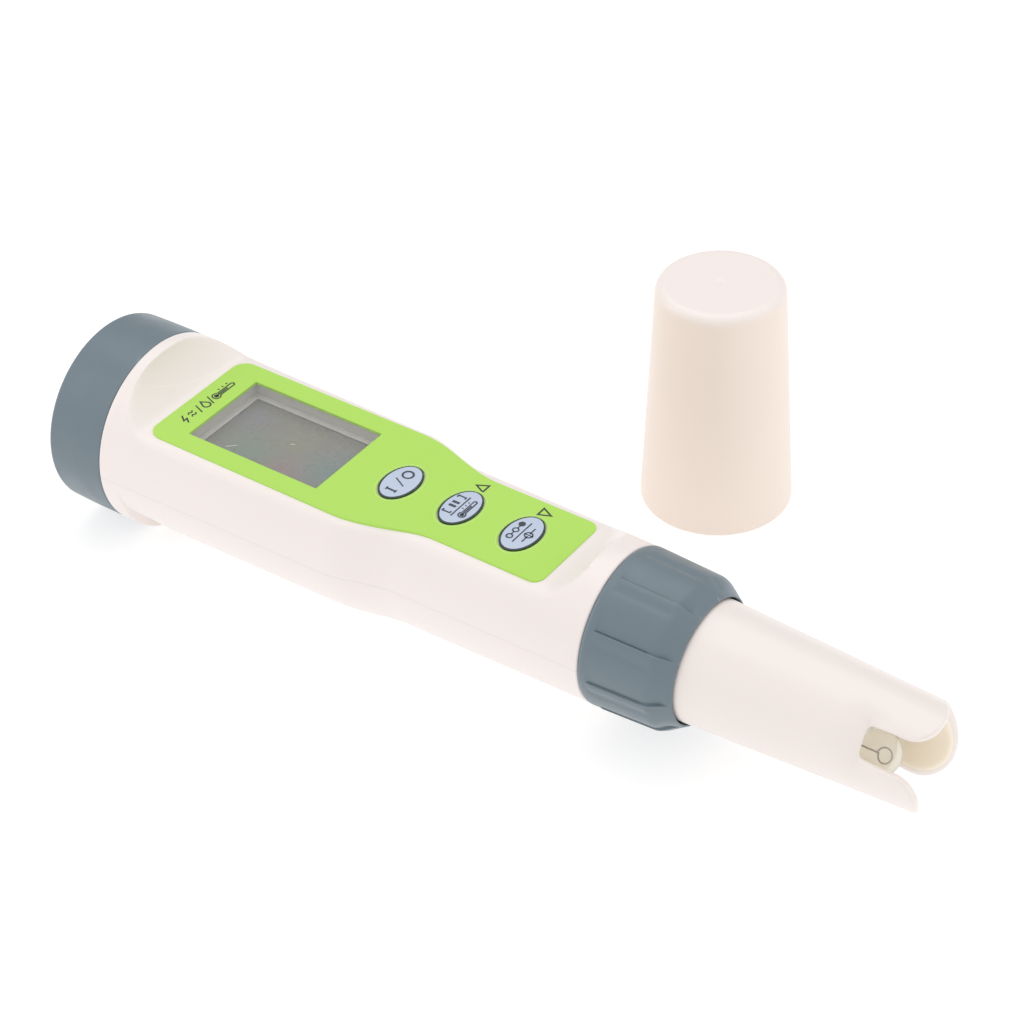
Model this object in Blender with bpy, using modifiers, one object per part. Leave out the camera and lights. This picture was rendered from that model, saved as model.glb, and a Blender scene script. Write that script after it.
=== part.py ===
"""Three-in-one water test pen (acidity, conductivity, temperature) on its back, with its protective cap beside it.

Lengths are in millimetres along the pen until a mesh is made, where MM turns them into metres.
Along the pen: U runs from the battery end to the probe end, V across it, W up from the pen's axis.
"""

import math

import bmesh
import bpy
import numpy as np
from mathutils import Matrix, Vector

MM = 0.001
GAP = 0.3
CUTTER_REACH = 30.0

# Where the pen and its cap stand
PEN_RADIUS = 19.0
CAP_STAND_U = 23.4
CAP_STAND_V = 62.1

# Battery cap, a plain cup screwed on the rear neck
REAR_FACE_U = -75.15
BATTERY_CAP_FRONT_U = -62.7
BATTERY_CAP_REAR_RADIUS = 18.85
BATTERY_CAP_DRAFT_U = -69.0
BATTERY_CAP_EDGE = 0.7
BATTERY_CAP_FLOOR = 1.85
BATTERY_CAP_BORE = 15.9

# Casing
SHOULDER_REAR_U = -62.4
SHOULDER_FRONT_U = 43.0
RIM_RADIUS = 18.9
RIM_END_U = -58.4
WIDE_RADIUS = 18.2
WAIST_START_U = -10.0
WAIST_END_U = 4.0
GRIP_RADIUS = 15.35
NECK_END_RADIUS = 14.85
WALL = 2.2
FLAT_HEIGHT = 10.0
FLAT_START_U = -53.3
FLAT_END_U = 33.0
SCOOP_LENGTH = 6.6
SCOOP_RISE = 8.7
STEP_LENGTH = 5.7
STEP_RISE = 5.2
RAMP_POWER = 1.6
STRAP_FLOOR_DEPTH = 15.2
BACK_DEPTH_WIDE = 16.0
REAR_NECK_END_U = -71.3
REAR_NECK_RADIUS = 14.6
REAR_BORE = 13.0
FRONT_NECK_END_U = 52.4
FRONT_NECK_RADIUS = 12.9
FRONT_BORE = 10.9
THREAD_HEIGHT = 0.6
REAR_THREAD_U = -70.2
FRONT_THREAD_U = 46.6
SEAL_GROOVE_U = (-65.2, -63.6)
SEAL_GROOVE_RADIUS = 13.9
SEAL_RING_RADIUS = 14.85
SEAL_RING_THICKNESS = 0.65
INNER_START_U = -60.4
INNER_END_U = 40.6
INNER_BACK_DEPTH = 15.4

# Strap bar behind the rim, on the back
STRAP_RIB_U = (-55.5, -54.5)
STRAP_RIB_HALF = 10.5
STRAP_RIB_RADIUS = 18.1
STRAP_RIB_TOP_W = -11.6
STRAP_PIN_DEPTH = 16.8
STRAP_PIN_RADIUS = 0.6
STRAP_PIN_U = (-59.4, -54.3)
STRAP_BORE_RADIUS = 0.85
STRAP_BORE_END_U = -53.0

# Keypad label, window and display
LABEL_U = (-53.15, 31.75)
LABEL_WIDE_HALF = 13.9
LABEL_NARROW_HALF = 9.6
LABEL_WAIST_U = (-10.0, 9.5)
LABEL_CORNER = 3.0
LABEL_W = (10.3, 10.7)
WINDOW_U = (-46.9, -16.9)
WINDOW_HALF = 9.75
WINDOW_W = (10.25, 10.6)
BEZEL_U = (-48.0, -15.8)
BEZEL_HALF = 10.9
BEZEL_RIM = 1.6
BEZEL_W = (7.7, 10.0)
LCD_U = (-47.4, -16.4)
LCD_HALF = 10.3
LCD_W = (5.8, 7.4)
ZEBRA_U = (-45.0, -19.0)
ZEBRA_V = (-9.9, -7.9)
ZEBRA_W = (3.9, 5.5)

# Keys
KEY_NAMES = ("key_power", "key_hold", "key_mode")
KEY_FIRST_U = -5.1
KEY_PITCH = 13.33
KEY_HOLE = (3.65, 5.3)
KEY_PAD_W = (10.5, 11.0)
KEY_STEM = (2.6, 4.2)
KEY_FLANGE = (3.6, 5.2)
KEY_FLANGE_W = (6.2, 7.2)
DOME_W = (3.9, 5.5)
DOME_RADIUS = 2.8

# Circuit board and its ledges
BOARD_U = (-46.0, 28.0)
BOARD_HALF = 10.2
BOARD_W = (2.0, 3.6)
LEDGE_W = (0.5, 1.7)
LEDGE_START_V = 7.4
LEDGES = ((-40.0, 17.4), (-11.5, 16.6), (23.0, 13.8))
LEDGE_HALF_U = 2.0
SCREW_U = -11.5
SCREW_V = 9.0
SCREW_SHANK = 0.8
SCREW_HEAD = 1.7

# Battery tray and cells
CELL_RADIUS = 5.8
CELL_LENGTH = 5.4
CELL_FIRST_U = -72.0
CELL_COUNT = 4
TRAY_RADIUS = 7.7
TRAY_BORE = 6.2
TRAY_FLANGE_RADIUS = 14.0
TRAY_FLANGE_U = (-72.7, -71.6)
TRAY_END_U = (-48.6, -47.9)
TRAY_RIM_W = 2.0
TRAY_CONTACT_U = (-49.2, -48.9)
TRAY_CONTACT_RADIUS = 5.2

# Collar nut and what it clamps
COLLAR_U = (43.3, 60.5)
COLLAR_RADIUS = 15.1
COLLAR_FRONT_RADIUS = 14.65
COLLAR_CHAMFER_U = 56.9
COLLAR_MOUTH_RADIUS = 12.0
COLLAR_BORE = 13.8
COLLAR_LIP_U = 57.0
COLLAR_LIP_BORE = 11.75
GRIP_COUNT = 9
GRIP_PHASE = 26.0
GRIP_RUN = 23.0
GRIP_DEPTH = 0.6
GRIP_START_U = 45.3
WASHER_U = (55.9, 56.7)
WASHER_R = (11.8, 13.3)
SEAL_U = (52.7, 53.7)
SEAL_R = (11.0, 12.7)

# Probe
SHROUD_REAR_U = 46.0
SHROUD_TIP_U = 105.05
SPIGOT_RADIUS = 10.6
FLANGE_U = (54.0, 55.6)
FLANGE_RADIUS = 13.2
SHROUD_ROOT_RADIUS = 11.55
SHROUD_TIP_RADIUS = 9.3
SHROUD_BORE_REAR = 9.3
SHROUD_BORE_TIP = 7.4
SLOT_ANGLE = 28.0
SLOT_COUNT = 3
SLOT_START_U = 93.8
SLOT_HALF = 3.0
SLOT_CORNER = 1.2
PETAL_CORNER = 4.2
SCALLOP_U = 102.4
SCALLOP_RADIUS = 12.0
CARRIER_U = (46.5, 91.3)
CARRIER_FRONT_WALL = 9.0
CARRIER_WALL = 1.6
BULB_U = 94.8
BULB_OFFSET = -2.85
BULB_RADIUS = 4.1
STEM_RADIUS = 3.6
STEM_REAR_U = 80.6
GLASS_WALL = 0.5
WIRE_RADIUS = 0.28
WIRE_LOOP = 1.35
PIN_RADIUS = 0.9
PIN_U = (80.0, 97.2)
PIN_C = 2.9
PIN_L = 3.2
SENSOR_RADIUS = 1.1
SENSOR_U = (80.0, 96.0)
SENSOR_C = 5.1
JUNCTION_RADIUS = 1.0
JUNCTION_U = (86.8, 92.0)
JUNCTION_C = 0.9
JUNCTION_L = -5.5
SOCKET = ((28.3, 34.3), (-4.0, 4.0), (-2.0, 3.0))
PLUG = ((34.6, 46.2), (-3.4, 3.4), (-1.8, 1.8))

# Protective cap
COVER_MOUTH_RADIUS = 14.8
COVER_TOP_RADIUS = 12.2
COVER_HEIGHT = 48.5
COVER_WALL = 1.5
COVER_EDGE = 1.6

# Whole object: the origin is the middle of its footprint
ORIGIN_U = (REAR_FACE_U + SHROUD_TIP_U) / 2
ORIGIN_V = (CAP_STAND_V + COVER_MOUTH_RADIUS - PEN_RADIUS) / 2

COLOURS = {
    "casing_white": (0.88, 0.84, 0.80),
    "probe_white": (0.88, 0.83, 0.77),
    "cover_cream": (0.88, 0.79, 0.69),
    "cap_grey": (0.21, 0.26, 0.29),
    "label_green": (0.48, 0.78, 0.16),
    "key_blue": (0.52, 0.63, 0.78),
    "clear_window": (0.80, 0.82, 0.80),
    "bezel_grey": (0.45, 0.43, 0.41),
    "lcd_grey": (0.29, 0.31, 0.28),
    "black_rubber": (0.03, 0.03, 0.03),
    "board_green": (0.03, 0.20, 0.08),
    "black_plastic": (0.04, 0.04, 0.045),
    "steel": (0.62, 0.62, 0.60),
    "brass": (0.74, 0.56, 0.25),
    "glass": (0.85, 0.88, 0.84),
    "ceramic": (0.80, 0.78, 0.72),
}


def clear_scene():
    for obj in list(bpy.data.objects):
        bpy.data.objects.remove(obj)


def make_collection(name):
    collection = bpy.data.collections.new(name)
    bpy.context.scene.collection.children.link(collection)
    return collection


def make_material(name, colour):
    material = bpy.data.materials.new(name)
    material.use_nodes = True
    shader = material.node_tree.nodes["Principled BSDF"]
    shader.inputs["Base Color"].default_value = (*colour, 1.0)
    shader.inputs["Roughness"].default_value = 0.4
    return material


clear_scene()
PARTS = make_collection("ph_test_pen")
CUTTERS = make_collection("cutters")
CUTTERS.hide_render = True


def make_empty(name, location):
    empty = bpy.data.objects.new(name, None)
    empty.location = [value * MM for value in location]
    PARTS.objects.link(empty)
    return empty


PEN = make_empty("pen_axis", (-ORIGIN_U, -ORIGIN_V, PEN_RADIUS))
COVER_STAND = make_empty("cover_stand", (CAP_STAND_U - ORIGIN_U, CAP_STAND_V - ORIGIN_V, 0.0))


def add_object(name, mesh, slot, parent=PEN, location=(0, 0, 0)):
    """A part when it has a slot, and a cutter when it has none."""
    obj = bpy.data.objects.new(name, mesh)
    obj.parent = parent
    obj.location = [value * MM for value in location]
    if slot is None:
        obj.hide_render = True
        obj.display_type = "WIRE"
        CUTTERS.objects.link(obj)
        return obj
    # Each part has a material of its own, in the colour of its slot.
    mesh.materials.append(make_material(name, COLOURS[slot]))
    PARTS.objects.link(obj)
    return obj


def mesh_from(name, points, faces):
    """A closed mesh from points in millimetres, with its faces turned outward."""
    mesh = bpy.data.meshes.new(name)
    mesh.from_pydata([[value * MM for value in point] for point in points], [], faces)
    bm = bmesh.new()
    bm.from_mesh(mesh)
    bmesh.ops.recalc_face_normals(bm, faces=bm.faces)
    bm.to_mesh(mesh)
    bm.free()
    return mesh


def combine(obj, other, operation):
    modifier = obj.modifiers.new(other.name, "BOOLEAN")
    modifier.operation = operation
    modifier.solver = "EXACT"
    modifier.object = other


def cut(obj, cutter):
    combine(obj, cutter, "DIFFERENCE")


def join(obj, addition):
    combine(obj, addition, "UNION")


def turned(name, slot, profile, steps=40, parent=PEN, upright=False):
    """A Screw of a profile of (position along the axis, radius): solid if it ends at radius 0, else a closed ring."""
    ring = profile[0][1] > 0
    loop = profile + profile[:1] if ring else profile
    area = sum(a[0] * b[1] - b[0] * a[1] for a, b in zip(loop, loop[1:]))
    # The outer side has to run towards the lower end for the faces to point outward.
    if area < 0:
        profile = profile[::-1]
    mesh = bpy.data.meshes.new(name)
    points = [(radius * MM, 0, position * MM) for position, radius in profile]
    count = len(points)
    edges = [(i, (i + 1) % count) for i in range(count if ring else count - 1)]
    mesh.from_pydata(points, edges, [])
    obj = add_object(name, mesh, slot, parent)
    if not upright:
        obj.rotation_euler = (0, math.pi / 2, 0)
    screw = obj.modifiers.new("turn", "SCREW")
    screw.axis = "Z"
    screw.steps = steps
    screw.render_steps = steps
    screw.use_merge_vertices = True
    screw.merge_threshold = 0.000001
    return obj


def corner_arc(before, corner, after, radius, steps=3):
    """The points that round one corner of a path."""
    a, b, c = (Vector(point) for point in (before, corner, after))
    to_a = (a - b).normalized()
    to_c = (c - b).normalized()
    half = to_a.angle(to_c) / 2
    start = b + to_a * (radius / math.tan(half))
    end = b + to_c * (radius / math.tan(half))
    middle = b + (to_a + to_c).normalized() * (radius / math.sin(half))
    points = []
    for i in range(steps + 1):
        spoke = (start - middle).lerp(end - middle, i / steps).normalized()
        points.append(tuple(middle + spoke * radius))
    return points


def rounded(path, closed=False):
    """A path with the corners that carry a radius rounded off. Each item is (a, b) or (a, b, radius)."""
    points = []
    count = len(path)
    for i, item in enumerate(path):
        inner = closed or 0 < i < count - 1
        if len(item) == 2 or not inner:
            points.append(item[:2])
            continue
        before = path[i - 1][:2]
        after = path[(i + 1) % count][:2]
        points.extend(corner_arc(before, item[:2], after, item[2]))
    return points


def prism(name, slot, outline, low, high, axes=((1, 0, 0), (0, 1, 0), (0, 0, 1)), **place):
    """The outline in the plane of the first two axes, drawn out along the third from low to high."""
    along, across, up = (Vector(axis) for axis in axes)
    points = [along * a + across * b + up * level for level in (low, high) for a, b in outline]
    count = len(outline)
    sides = [(i, (i + 1) % count, count + (i + 1) % count, count + i) for i in range(count)]
    caps = [tuple(range(count)), tuple(range(count, 2 * count))]
    return add_object(name, mesh_from(name, points, sides + caps), slot, **place)


def rectangle(a, b, corner=0.0):
    """A rectangle over the ranges a and b."""
    corners = [(a[0], b[0]), (a[1], b[0]), (a[1], b[1]), (a[0], b[1])]
    if not corner:
        return corners
    return rounded([(*point, corner) for point in corners], closed=True)


def oval(half_a, half_b, count=20):
    angles = [2 * math.pi * i / count for i in range(count)]
    return [(half_a * math.cos(t), half_b * math.sin(t)) for t in angles]


def boxes(name, slot, extents):
    """Separate boxes in one mesh, each given as three ranges."""
    points = []
    faces = []
    sides = ((0, 1, 3, 2), (4, 6, 7, 5), (0, 4, 5, 1), (2, 3, 7, 6), (0, 2, 6, 4), (1, 5, 7, 3))
    for ranges in extents:
        first = len(points)
        for i in range(8):
            points.append([ranges[0][i >> 2 & 1], ranges[1][i >> 1 & 1], ranges[2][i & 1]])
        faces.extend(tuple(first + i for i in side) for side in sides)
    return add_object(name, mesh_from(name, points, faces), slot)


def lofted(name, slot, sections, loop, **place):
    """Rings of points joined in order. A loop joins the last to the first, otherwise both ends are capped."""
    count = len(sections[0])
    points = [point for section in sections for point in section]
    faces = []
    for i in range(len(sections) if loop else len(sections) - 1):
        here = i * count
        there = (i + 1) % len(sections) * count
        for k in range(count):
            after = (k + 1) % count
            faces.append((here + k, here + after, there + after, there + k))
    if not loop:
        faces.append(tuple(range(count)))
        faces.append(tuple(range(len(points) - count, len(points))))
    return add_object(name, mesh_from(name, points, faces), slot, **place)


def swept(name, slot, path, radius, sides=8, **place):
    """A round wire along a path, with a frame carried from point to point so that it never twists."""
    path = [Vector(point) for point in path]
    side = None
    sections = []
    for i, point in enumerate(path):
        ahead = (path[min(i + 1, len(path) - 1)] - path[max(i - 1, 0)]).normalized()
        if side is None:
            side = ahead.orthogonal().normalized()
        side = (side - ahead * side.dot(ahead)).normalized()
        over = ahead.cross(side)
        angles = [2 * math.pi * k / sides for k in range(sides)]
        sections.append([point + (side * math.cos(t) + over * math.sin(t)) * radius for t in angles])
    return lofted(name, slot, sections, False, **place)


def smooth(value, start, end):
    t = min(max((value - start) / (end - start), 0.0), 1.0)
    return t * t * (3 - 2 * t)


# ---------------------------------------------------------------- casing


def side_radius(u):
    """Half the casing's width: a slow taper, the waist, then a slow taper to the neck."""
    wide = np.interp(u, (SHOULDER_REAR_U, WAIST_START_U), (RIM_RADIUS, WIDE_RADIUS))
    slim = np.interp(u, (WAIST_END_U, SHOULDER_FRONT_U), (GRIP_RADIUS, NECK_END_RADIUS))
    blend = smooth(u, WAIST_START_U, WAIST_END_U)
    return float(wide + (slim - wide) * blend)


def back_depth(u):
    """How far the back lies under the axis: nearly straight, and hollowed for the strap behind the rim."""
    if u <= RIM_END_U:
        return side_radius(u)
    hollow_end = STRAP_RIB_U[1] + GAP
    at = (RIM_END_U, hollow_end, hollow_end + 4, WAIST_START_U, SHOULDER_FRONT_U)
    depth = (STRAP_FLOOR_DEPTH, STRAP_FLOOR_DEPTH, BACK_DEPTH_WIDE, 15.7, NECK_END_RADIUS)
    return float(np.interp(u, at, depth))


def ramp(t):
    """Rises from 0 to 1, slowly at first and steeply at the end."""
    t = min(max(t, 0.0), 1.0)
    return 1 - (1 - t**RAMP_POWER) ** (1 / RAMP_POWER)


def flat_height(u):
    """The label's flat, with the thumb scoop at one end of it and the step up to the neck at the other."""
    if u < FLAT_START_U:
        return FLAT_HEIGHT + SCOOP_RISE * ramp((FLAT_START_U - u) / SCOOP_LENGTH)
    if u > FLAT_END_U:
        return FLAT_HEIGHT + STEP_RISE * ramp((u - FLAT_END_U) / STEP_LENGTH)
    return FLAT_HEIGHT


FLAT_POINTS = 7
SIDE_POINTS = 6
BACK_POINTS = 15


def casing_section(u, radius, flat, back):
    """One ring of the casing: a flat on top, round sides and an oval back."""
    half = math.sqrt(max(radius**2 - flat**2, (0.25 * radius) ** 2))
    edge = math.acos(half / radius)
    ring = []
    for i in range(FLAT_POINTS):
        v = half * (1 - 2 * i / FLAT_POINTS)
        ring.append((u, v, min(flat, math.sqrt(radius**2 - v**2))))
    for i in range(SIDE_POINTS):
        angle = math.pi - edge + edge * i / SIDE_POINTS
        ring.append((u, radius * math.cos(angle), radius * math.sin(angle)))
    for i in range(BACK_POINTS):
        angle = math.pi * (1 + i / BACK_POINTS)
        ring.append((u, radius * math.cos(angle), back * math.sin(angle)))
    for i in range(SIDE_POINTS):
        angle = edge * i / SIDE_POINTS
        ring.append((u, radius * math.cos(angle), radius * math.sin(angle)))
    return ring


def round_section(u, radius):
    return casing_section(u, radius, radius, radius)


def thread_ring(start, root):
    """A ring that stands for the thread of a neck."""
    shape = ((0.0, 0.0), (0.5, THREAD_HEIGHT), (0.9, THREAD_HEIGHT), (1.4, 0.0))
    return [(start + step, root + rise) for step, rise in shape]


def outer_stations():
    scoop = [FLAT_START_U - SCOOP_LENGTH * t for t in (0.2, 0.45, 0.65, 0.8, 0.9, 0.96, 1.0)]
    rim = [SHOULDER_REAR_U, -61.2, RIM_END_U, RIM_END_U + 0.3, STRAP_RIB_U[1] + GAP]
    waist = [WAIST_START_U + (WAIST_END_U - WAIST_START_U) * i / 6 for i in range(7)]
    step = [FLAT_END_U + STEP_LENGTH * t for t in (0.3, 0.55, 0.75, 0.9, 0.97, 1.0)]
    straight = [-50.2, -30.0, 16.0, FLAT_START_U, FLAT_END_U, SHOULDER_FRONT_U]
    return sorted({round(u, 3) for u in scoop + rim + waist + step + straight})


def build_casing():
    rear = [(REAR_NECK_END_U, REAR_NECK_RADIUS - 0.5), (REAR_NECK_END_U + 0.5, REAR_NECK_RADIUS)]
    rear += thread_ring(REAR_THREAD_U, REAR_NECK_RADIUS)
    groove_start, groove_end = SEAL_GROOVE_U
    rear += [(groove_start, REAR_NECK_RADIUS), (groove_start, SEAL_GROOVE_RADIUS)]
    rear += [(groove_end, SEAL_GROOVE_RADIUS), (groove_end, REAR_NECK_RADIUS)]
    rear += [(SHOULDER_REAR_U, REAR_NECK_RADIUS)]
    front = [(SHOULDER_FRONT_U, FRONT_NECK_RADIUS)]
    front += thread_ring(FRONT_THREAD_U, FRONT_NECK_RADIUS)
    front += [(FRONT_NECK_END_U - 0.4, FRONT_NECK_RADIUS), (FRONT_NECK_END_U, FRONT_NECK_RADIUS - 0.4)]
    sections = [round_section(u, radius) for u, radius in rear]
    for u in outer_stations():
        sections.append(casing_section(u, side_radius(u), flat_height(u), back_depth(u)))
    sections += [round_section(u, radius) for u, radius in front]
    sections += [round_section(FRONT_NECK_END_U, FRONT_BORE), round_section(INNER_END_U, FRONT_BORE)]
    inner = [INNER_END_U, 37.5, 34.6, FLAT_END_U, 16.0, WAIST_END_U, -1.0, -5.0]
    inner += [WAIST_START_U, -50.2, FLAT_START_U, -56.5, INNER_START_U + 1.2, INNER_START_U]
    for u in inner:
        flat = min(flat_height(u) - WALL, REAR_BORE)
        side = side_radius(u) - WALL
        sections.append(casing_section(u, side, flat, min(back_depth(u), INNER_BACK_DEPTH) - WALL))
    sections += [round_section(INNER_START_U, REAR_BORE), round_section(REAR_NECK_END_U, REAR_BORE)]
    casing = lofted("casing", "casing_white", sections, True)

    pocket = rectangle((BEZEL_U[0] - GAP, BEZEL_U[1] + GAP), (-BEZEL_HALF - GAP, BEZEL_HALF + GAP))
    cut(casing, prism("cut_display", None, pocket, BEZEL_W[0] - 3, CUTTER_REACH))
    for i in range(len(KEY_NAMES)):
        hole = oval(KEY_STEM[0] + GAP, KEY_STEM[1] + GAP)
        centre = (KEY_FIRST_U + i * KEY_PITCH, 0, 0)
        cut(casing, prism(f"cut_key_{i + 1}", None, hole, 4, CUTTER_REACH, location=centre))
    ledges = []
    for u, reach in LEDGES:
        span = (u - LEDGE_HALF_U, u + LEDGE_HALF_U)
        ledges += [(span, (LEDGE_START_V, reach), LEDGE_W), (span, (-reach, -LEDGE_START_V), LEDGE_W)]
    join(casing, boxes("add_ledges", None, ledges))
    for side in (-1, 1):
        cut(casing, screw_hole(f"cut_screw_{side + 2}", side * SCREW_V))
    join(casing, strap_rib())
    start, end, bore = STRAP_PIN_U[0] - GAP, STRAP_BORE_END_U, STRAP_BORE_RADIUS
    hole = turned("cut_strap_pin", None, [(start, 0), (start, bore), (end, bore), (end, 0)], 12)
    hole.location.z = -STRAP_PIN_DEPTH * MM
    cut(casing, hole)
    return casing


def screw_hole(name, v):
    """A cutter through a ledge for one of the board's screws."""
    outline = oval(SCREW_SHANK + GAP, SCREW_SHANK + GAP, 12)
    return prism(name, None, outline, LEDGE_W[0] - 1, LEDGE_W[1] + 1, location=(SCREW_U, v, 0))


def strap_rib():
    """A thin wall across the back that follows the rim's round outline."""
    outline = []
    for i in range(13):
        v = STRAP_RIB_HALF * (1 - i / 6)
        outline.append((v, -math.sqrt(STRAP_RIB_RADIUS**2 - v**2)))
    top = STRAP_RIB_TOP_W
    outline += [(-STRAP_RIB_HALF + 1, top), (STRAP_RIB_HALF - 1, top)]
    outline = [(v, min(w, top)) for v, w in outline]
    axes = ((0, 1, 0), (0, 0, 1), (1, 0, 0))
    return prism("add_strap_rib", None, outline, *STRAP_RIB_U, axes=axes)


def build_strap_pin():
    low, high = STRAP_PIN_U
    profile = rounded([(low, 0), (low, STRAP_PIN_RADIUS, 0.2), (high, STRAP_PIN_RADIUS, 0.2), (high, 0)])
    pin = turned("strap_pin", "steel", profile, 12)
    pin.location.z = -STRAP_PIN_DEPTH * MM


# ---------------------------------------------------------------- battery end


def build_battery_cap():
    inner_face = REAR_FACE_U + BATTERY_CAP_FLOOR
    profile = [
        (REAR_FACE_U, 0),
        (REAR_FACE_U, BATTERY_CAP_REAR_RADIUS, BATTERY_CAP_EDGE),
        (BATTERY_CAP_DRAFT_U, PEN_RADIUS),
        (BATTERY_CAP_FRONT_U, PEN_RADIUS, 0.4),
        (BATTERY_CAP_FRONT_U, BATTERY_CAP_BORE, 0.3),
        (inner_face, BATTERY_CAP_BORE, 1.0),
        (inner_face, 0),
    ]
    turned("battery_cap", "cap_grey", rounded(profile), 36)


def ring_profile(u, radii):
    return [(u[0], radii[0]), (u[1], radii[0]), (u[1], radii[1]), (u[0], radii[1])]


def build_battery_seal():
    """A ring of six-sided section in the middle of the neck's groove."""
    middle = sum(SEAL_GROOVE_U) / 2
    profile = []
    for i in range(6):
        t = math.pi / 3 * i
        reach = SEAL_RING_RADIUS + SEAL_RING_THICKNESS * math.sin(t)
        profile.append((middle + SEAL_RING_THICKNESS * math.cos(t), reach))
    turned("battery_seal", "black_rubber", profile, 24)


def build_battery_contact():
    """The domed spring disc inside the cap that presses on the cells."""
    disc = [(-73.0, 0), (-73.0, 4.2), (-72.8, 5.6), (-72.6, 5.6), (-72.75, 4.2), (-72.35, 2.0), (-72.3, 0)]
    turned("cap_contact", "brass", disc, 24)


def cell_start(i):
    return CELL_FIRST_U + i * (CELL_LENGTH + GAP)


def build_cells():
    for i in range(CELL_COUNT):
        start = cell_start(i)
        end = start + CELL_LENGTH
        profile = [
            (start, 0),
            (start, CELL_RADIUS - 0.3),
            (start + 0.3, CELL_RADIUS),
            (end - 0.8, CELL_RADIUS),
            (end - 0.6, 5.0),
            (end, 4.8),
            (end, 0),
        ]
        turned(f"button_cell_{i + 1}", "steel", profile, 24)


def build_tray():
    """A cradle that holds the cells, with a flange at the rear and a wall at the front."""
    profile = [
        (TRAY_FLANGE_U[0], TRAY_BORE + 0.2),
        (TRAY_FLANGE_U[0], TRAY_FLANGE_RADIUS),
        (TRAY_FLANGE_U[1], TRAY_FLANGE_RADIUS),
        (TRAY_FLANGE_U[1], TRAY_RADIUS),
        (TRAY_END_U[1], TRAY_RADIUS),
        (TRAY_END_U[1], 2.0),
        (TRAY_END_U[0], 2.0),
        (TRAY_END_U[0], TRAY_BORE + 0.2),
    ]
    tray = turned("battery_tray", "black_plastic", profile, 40)
    top = rectangle((TRAY_FLANGE_U[1], TRAY_END_U[1] + 5), (-TRAY_RADIUS - 2, TRAY_RADIUS + 2))
    cut(tray, prism("cut_tray", None, top, TRAY_RIM_W, CUTTER_REACH))
    start, end = TRAY_CONTACT_U
    disc = [(start, 0), (start, TRAY_CONTACT_RADIUS), (end, TRAY_CONTACT_RADIUS), (end, 0)]
    turned("tray_contact", "brass", disc, 24)


# ---------------------------------------------------------------- display and keys


def label_half(u):
    blend = smooth(u, *LABEL_WAIST_U)
    return LABEL_WIDE_HALF + (LABEL_NARROW_HALF - LABEL_WIDE_HALF) * blend


def label_outline():
    start, end = LABEL_U
    waist = [LABEL_WAIST_U[0] + (LABEL_WAIST_U[1] - LABEL_WAIST_U[0]) * i / 8 for i in range(9)]
    side = [(u, label_half(u)) for u in waist]
    path = [(start, -LABEL_WIDE_HALF, LABEL_CORNER)]
    path += [(u, -half) for u, half in side]
    path += [(end, -LABEL_NARROW_HALF, LABEL_CORNER), (end, LABEL_NARROW_HALF, LABEL_CORNER)]
    path += [(u, half) for u, half in reversed(side)]
    path += [(start, LABEL_WIDE_HALF, LABEL_CORNER)]
    return rounded(path, closed=True)


def build_label():
    label = prism("keypad_label", "label_green", label_outline(), *LABEL_W)
    window = rectangle(WINDOW_U, (-WINDOW_HALF, WINDOW_HALF))
    cut(label, prism("cut_window", None, window, 5, CUTTER_REACH))
    for i in range(len(KEY_NAMES)):
        centre = (KEY_FIRST_U + i * KEY_PITCH, 0, 0)
        hole = oval(*KEY_HOLE)
        cut(label, prism(f"cut_label_key_{i + 1}", None, hole, 5, CUTTER_REACH, location=centre))


def build_display():
    clear = rectangle((WINDOW_U[0] + GAP, WINDOW_U[1] - GAP), (GAP - WINDOW_HALF, WINDOW_HALF - GAP))
    prism("display_window", "clear_window", clear, *WINDOW_W)
    frame = rectangle(BEZEL_U, (-BEZEL_HALF, BEZEL_HALF), 0.5)
    bezel = prism("display_bezel", "bezel_grey", frame, *BEZEL_W)
    inner = rectangle(
        (BEZEL_U[0] + BEZEL_RIM, BEZEL_U[1] - BEZEL_RIM), (BEZEL_RIM - BEZEL_HALF, BEZEL_HALF - BEZEL_RIM)
    )
    cut(bezel, prism("cut_bezel", None, inner, 0, CUTTER_REACH))
    boxes("lcd_glass", "lcd_grey", [(LCD_U, (-LCD_HALF, LCD_HALF), LCD_W)])
    boxes("zebra_strip", "black_rubber", [(ZEBRA_U, ZEBRA_V, ZEBRA_W)])


def stacked(name, slot, layers, count=20, **place):
    """Ovals one on another, as a single closed surface. Each layer is (low, high, half_a, half_b)."""
    sections = []
    for low, high, half_a, half_b in layers:
        for w in (low, high):
            sections.append([(a, b, w) for a, b in oval(half_a, half_b, count)])
    return lofted(name, slot, sections, False, **place)


def build_keys():
    for i, name in enumerate(KEY_NAMES):
        centre = (KEY_FIRST_U + i * KEY_PITCH, 0, 0)
        half_a = KEY_HOLE[0] - GAP
        half_b = KEY_HOLE[1] - GAP
        layers = [
            (*KEY_FLANGE_W, *KEY_FLANGE),
            (KEY_FLANGE_W[1], KEY_PAD_W[0], *KEY_STEM),
            (KEY_PAD_W[0], KEY_PAD_W[1] - 0.12, half_a, half_b),
            (KEY_PAD_W[1] - 0.05, KEY_PAD_W[1], half_a - 0.15, half_b - 0.15),
        ]
        stacked(name, "key_blue", layers, location=centre)
        low, high = DOME_W
        dome = [(low, low + 0.5, DOME_RADIUS, DOME_RADIUS), (high - 0.4, high, 1.6, 1.0)]
        stacked(f"dome_switch_{i + 1}", "steel", dome, 16, location=centre)


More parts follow.
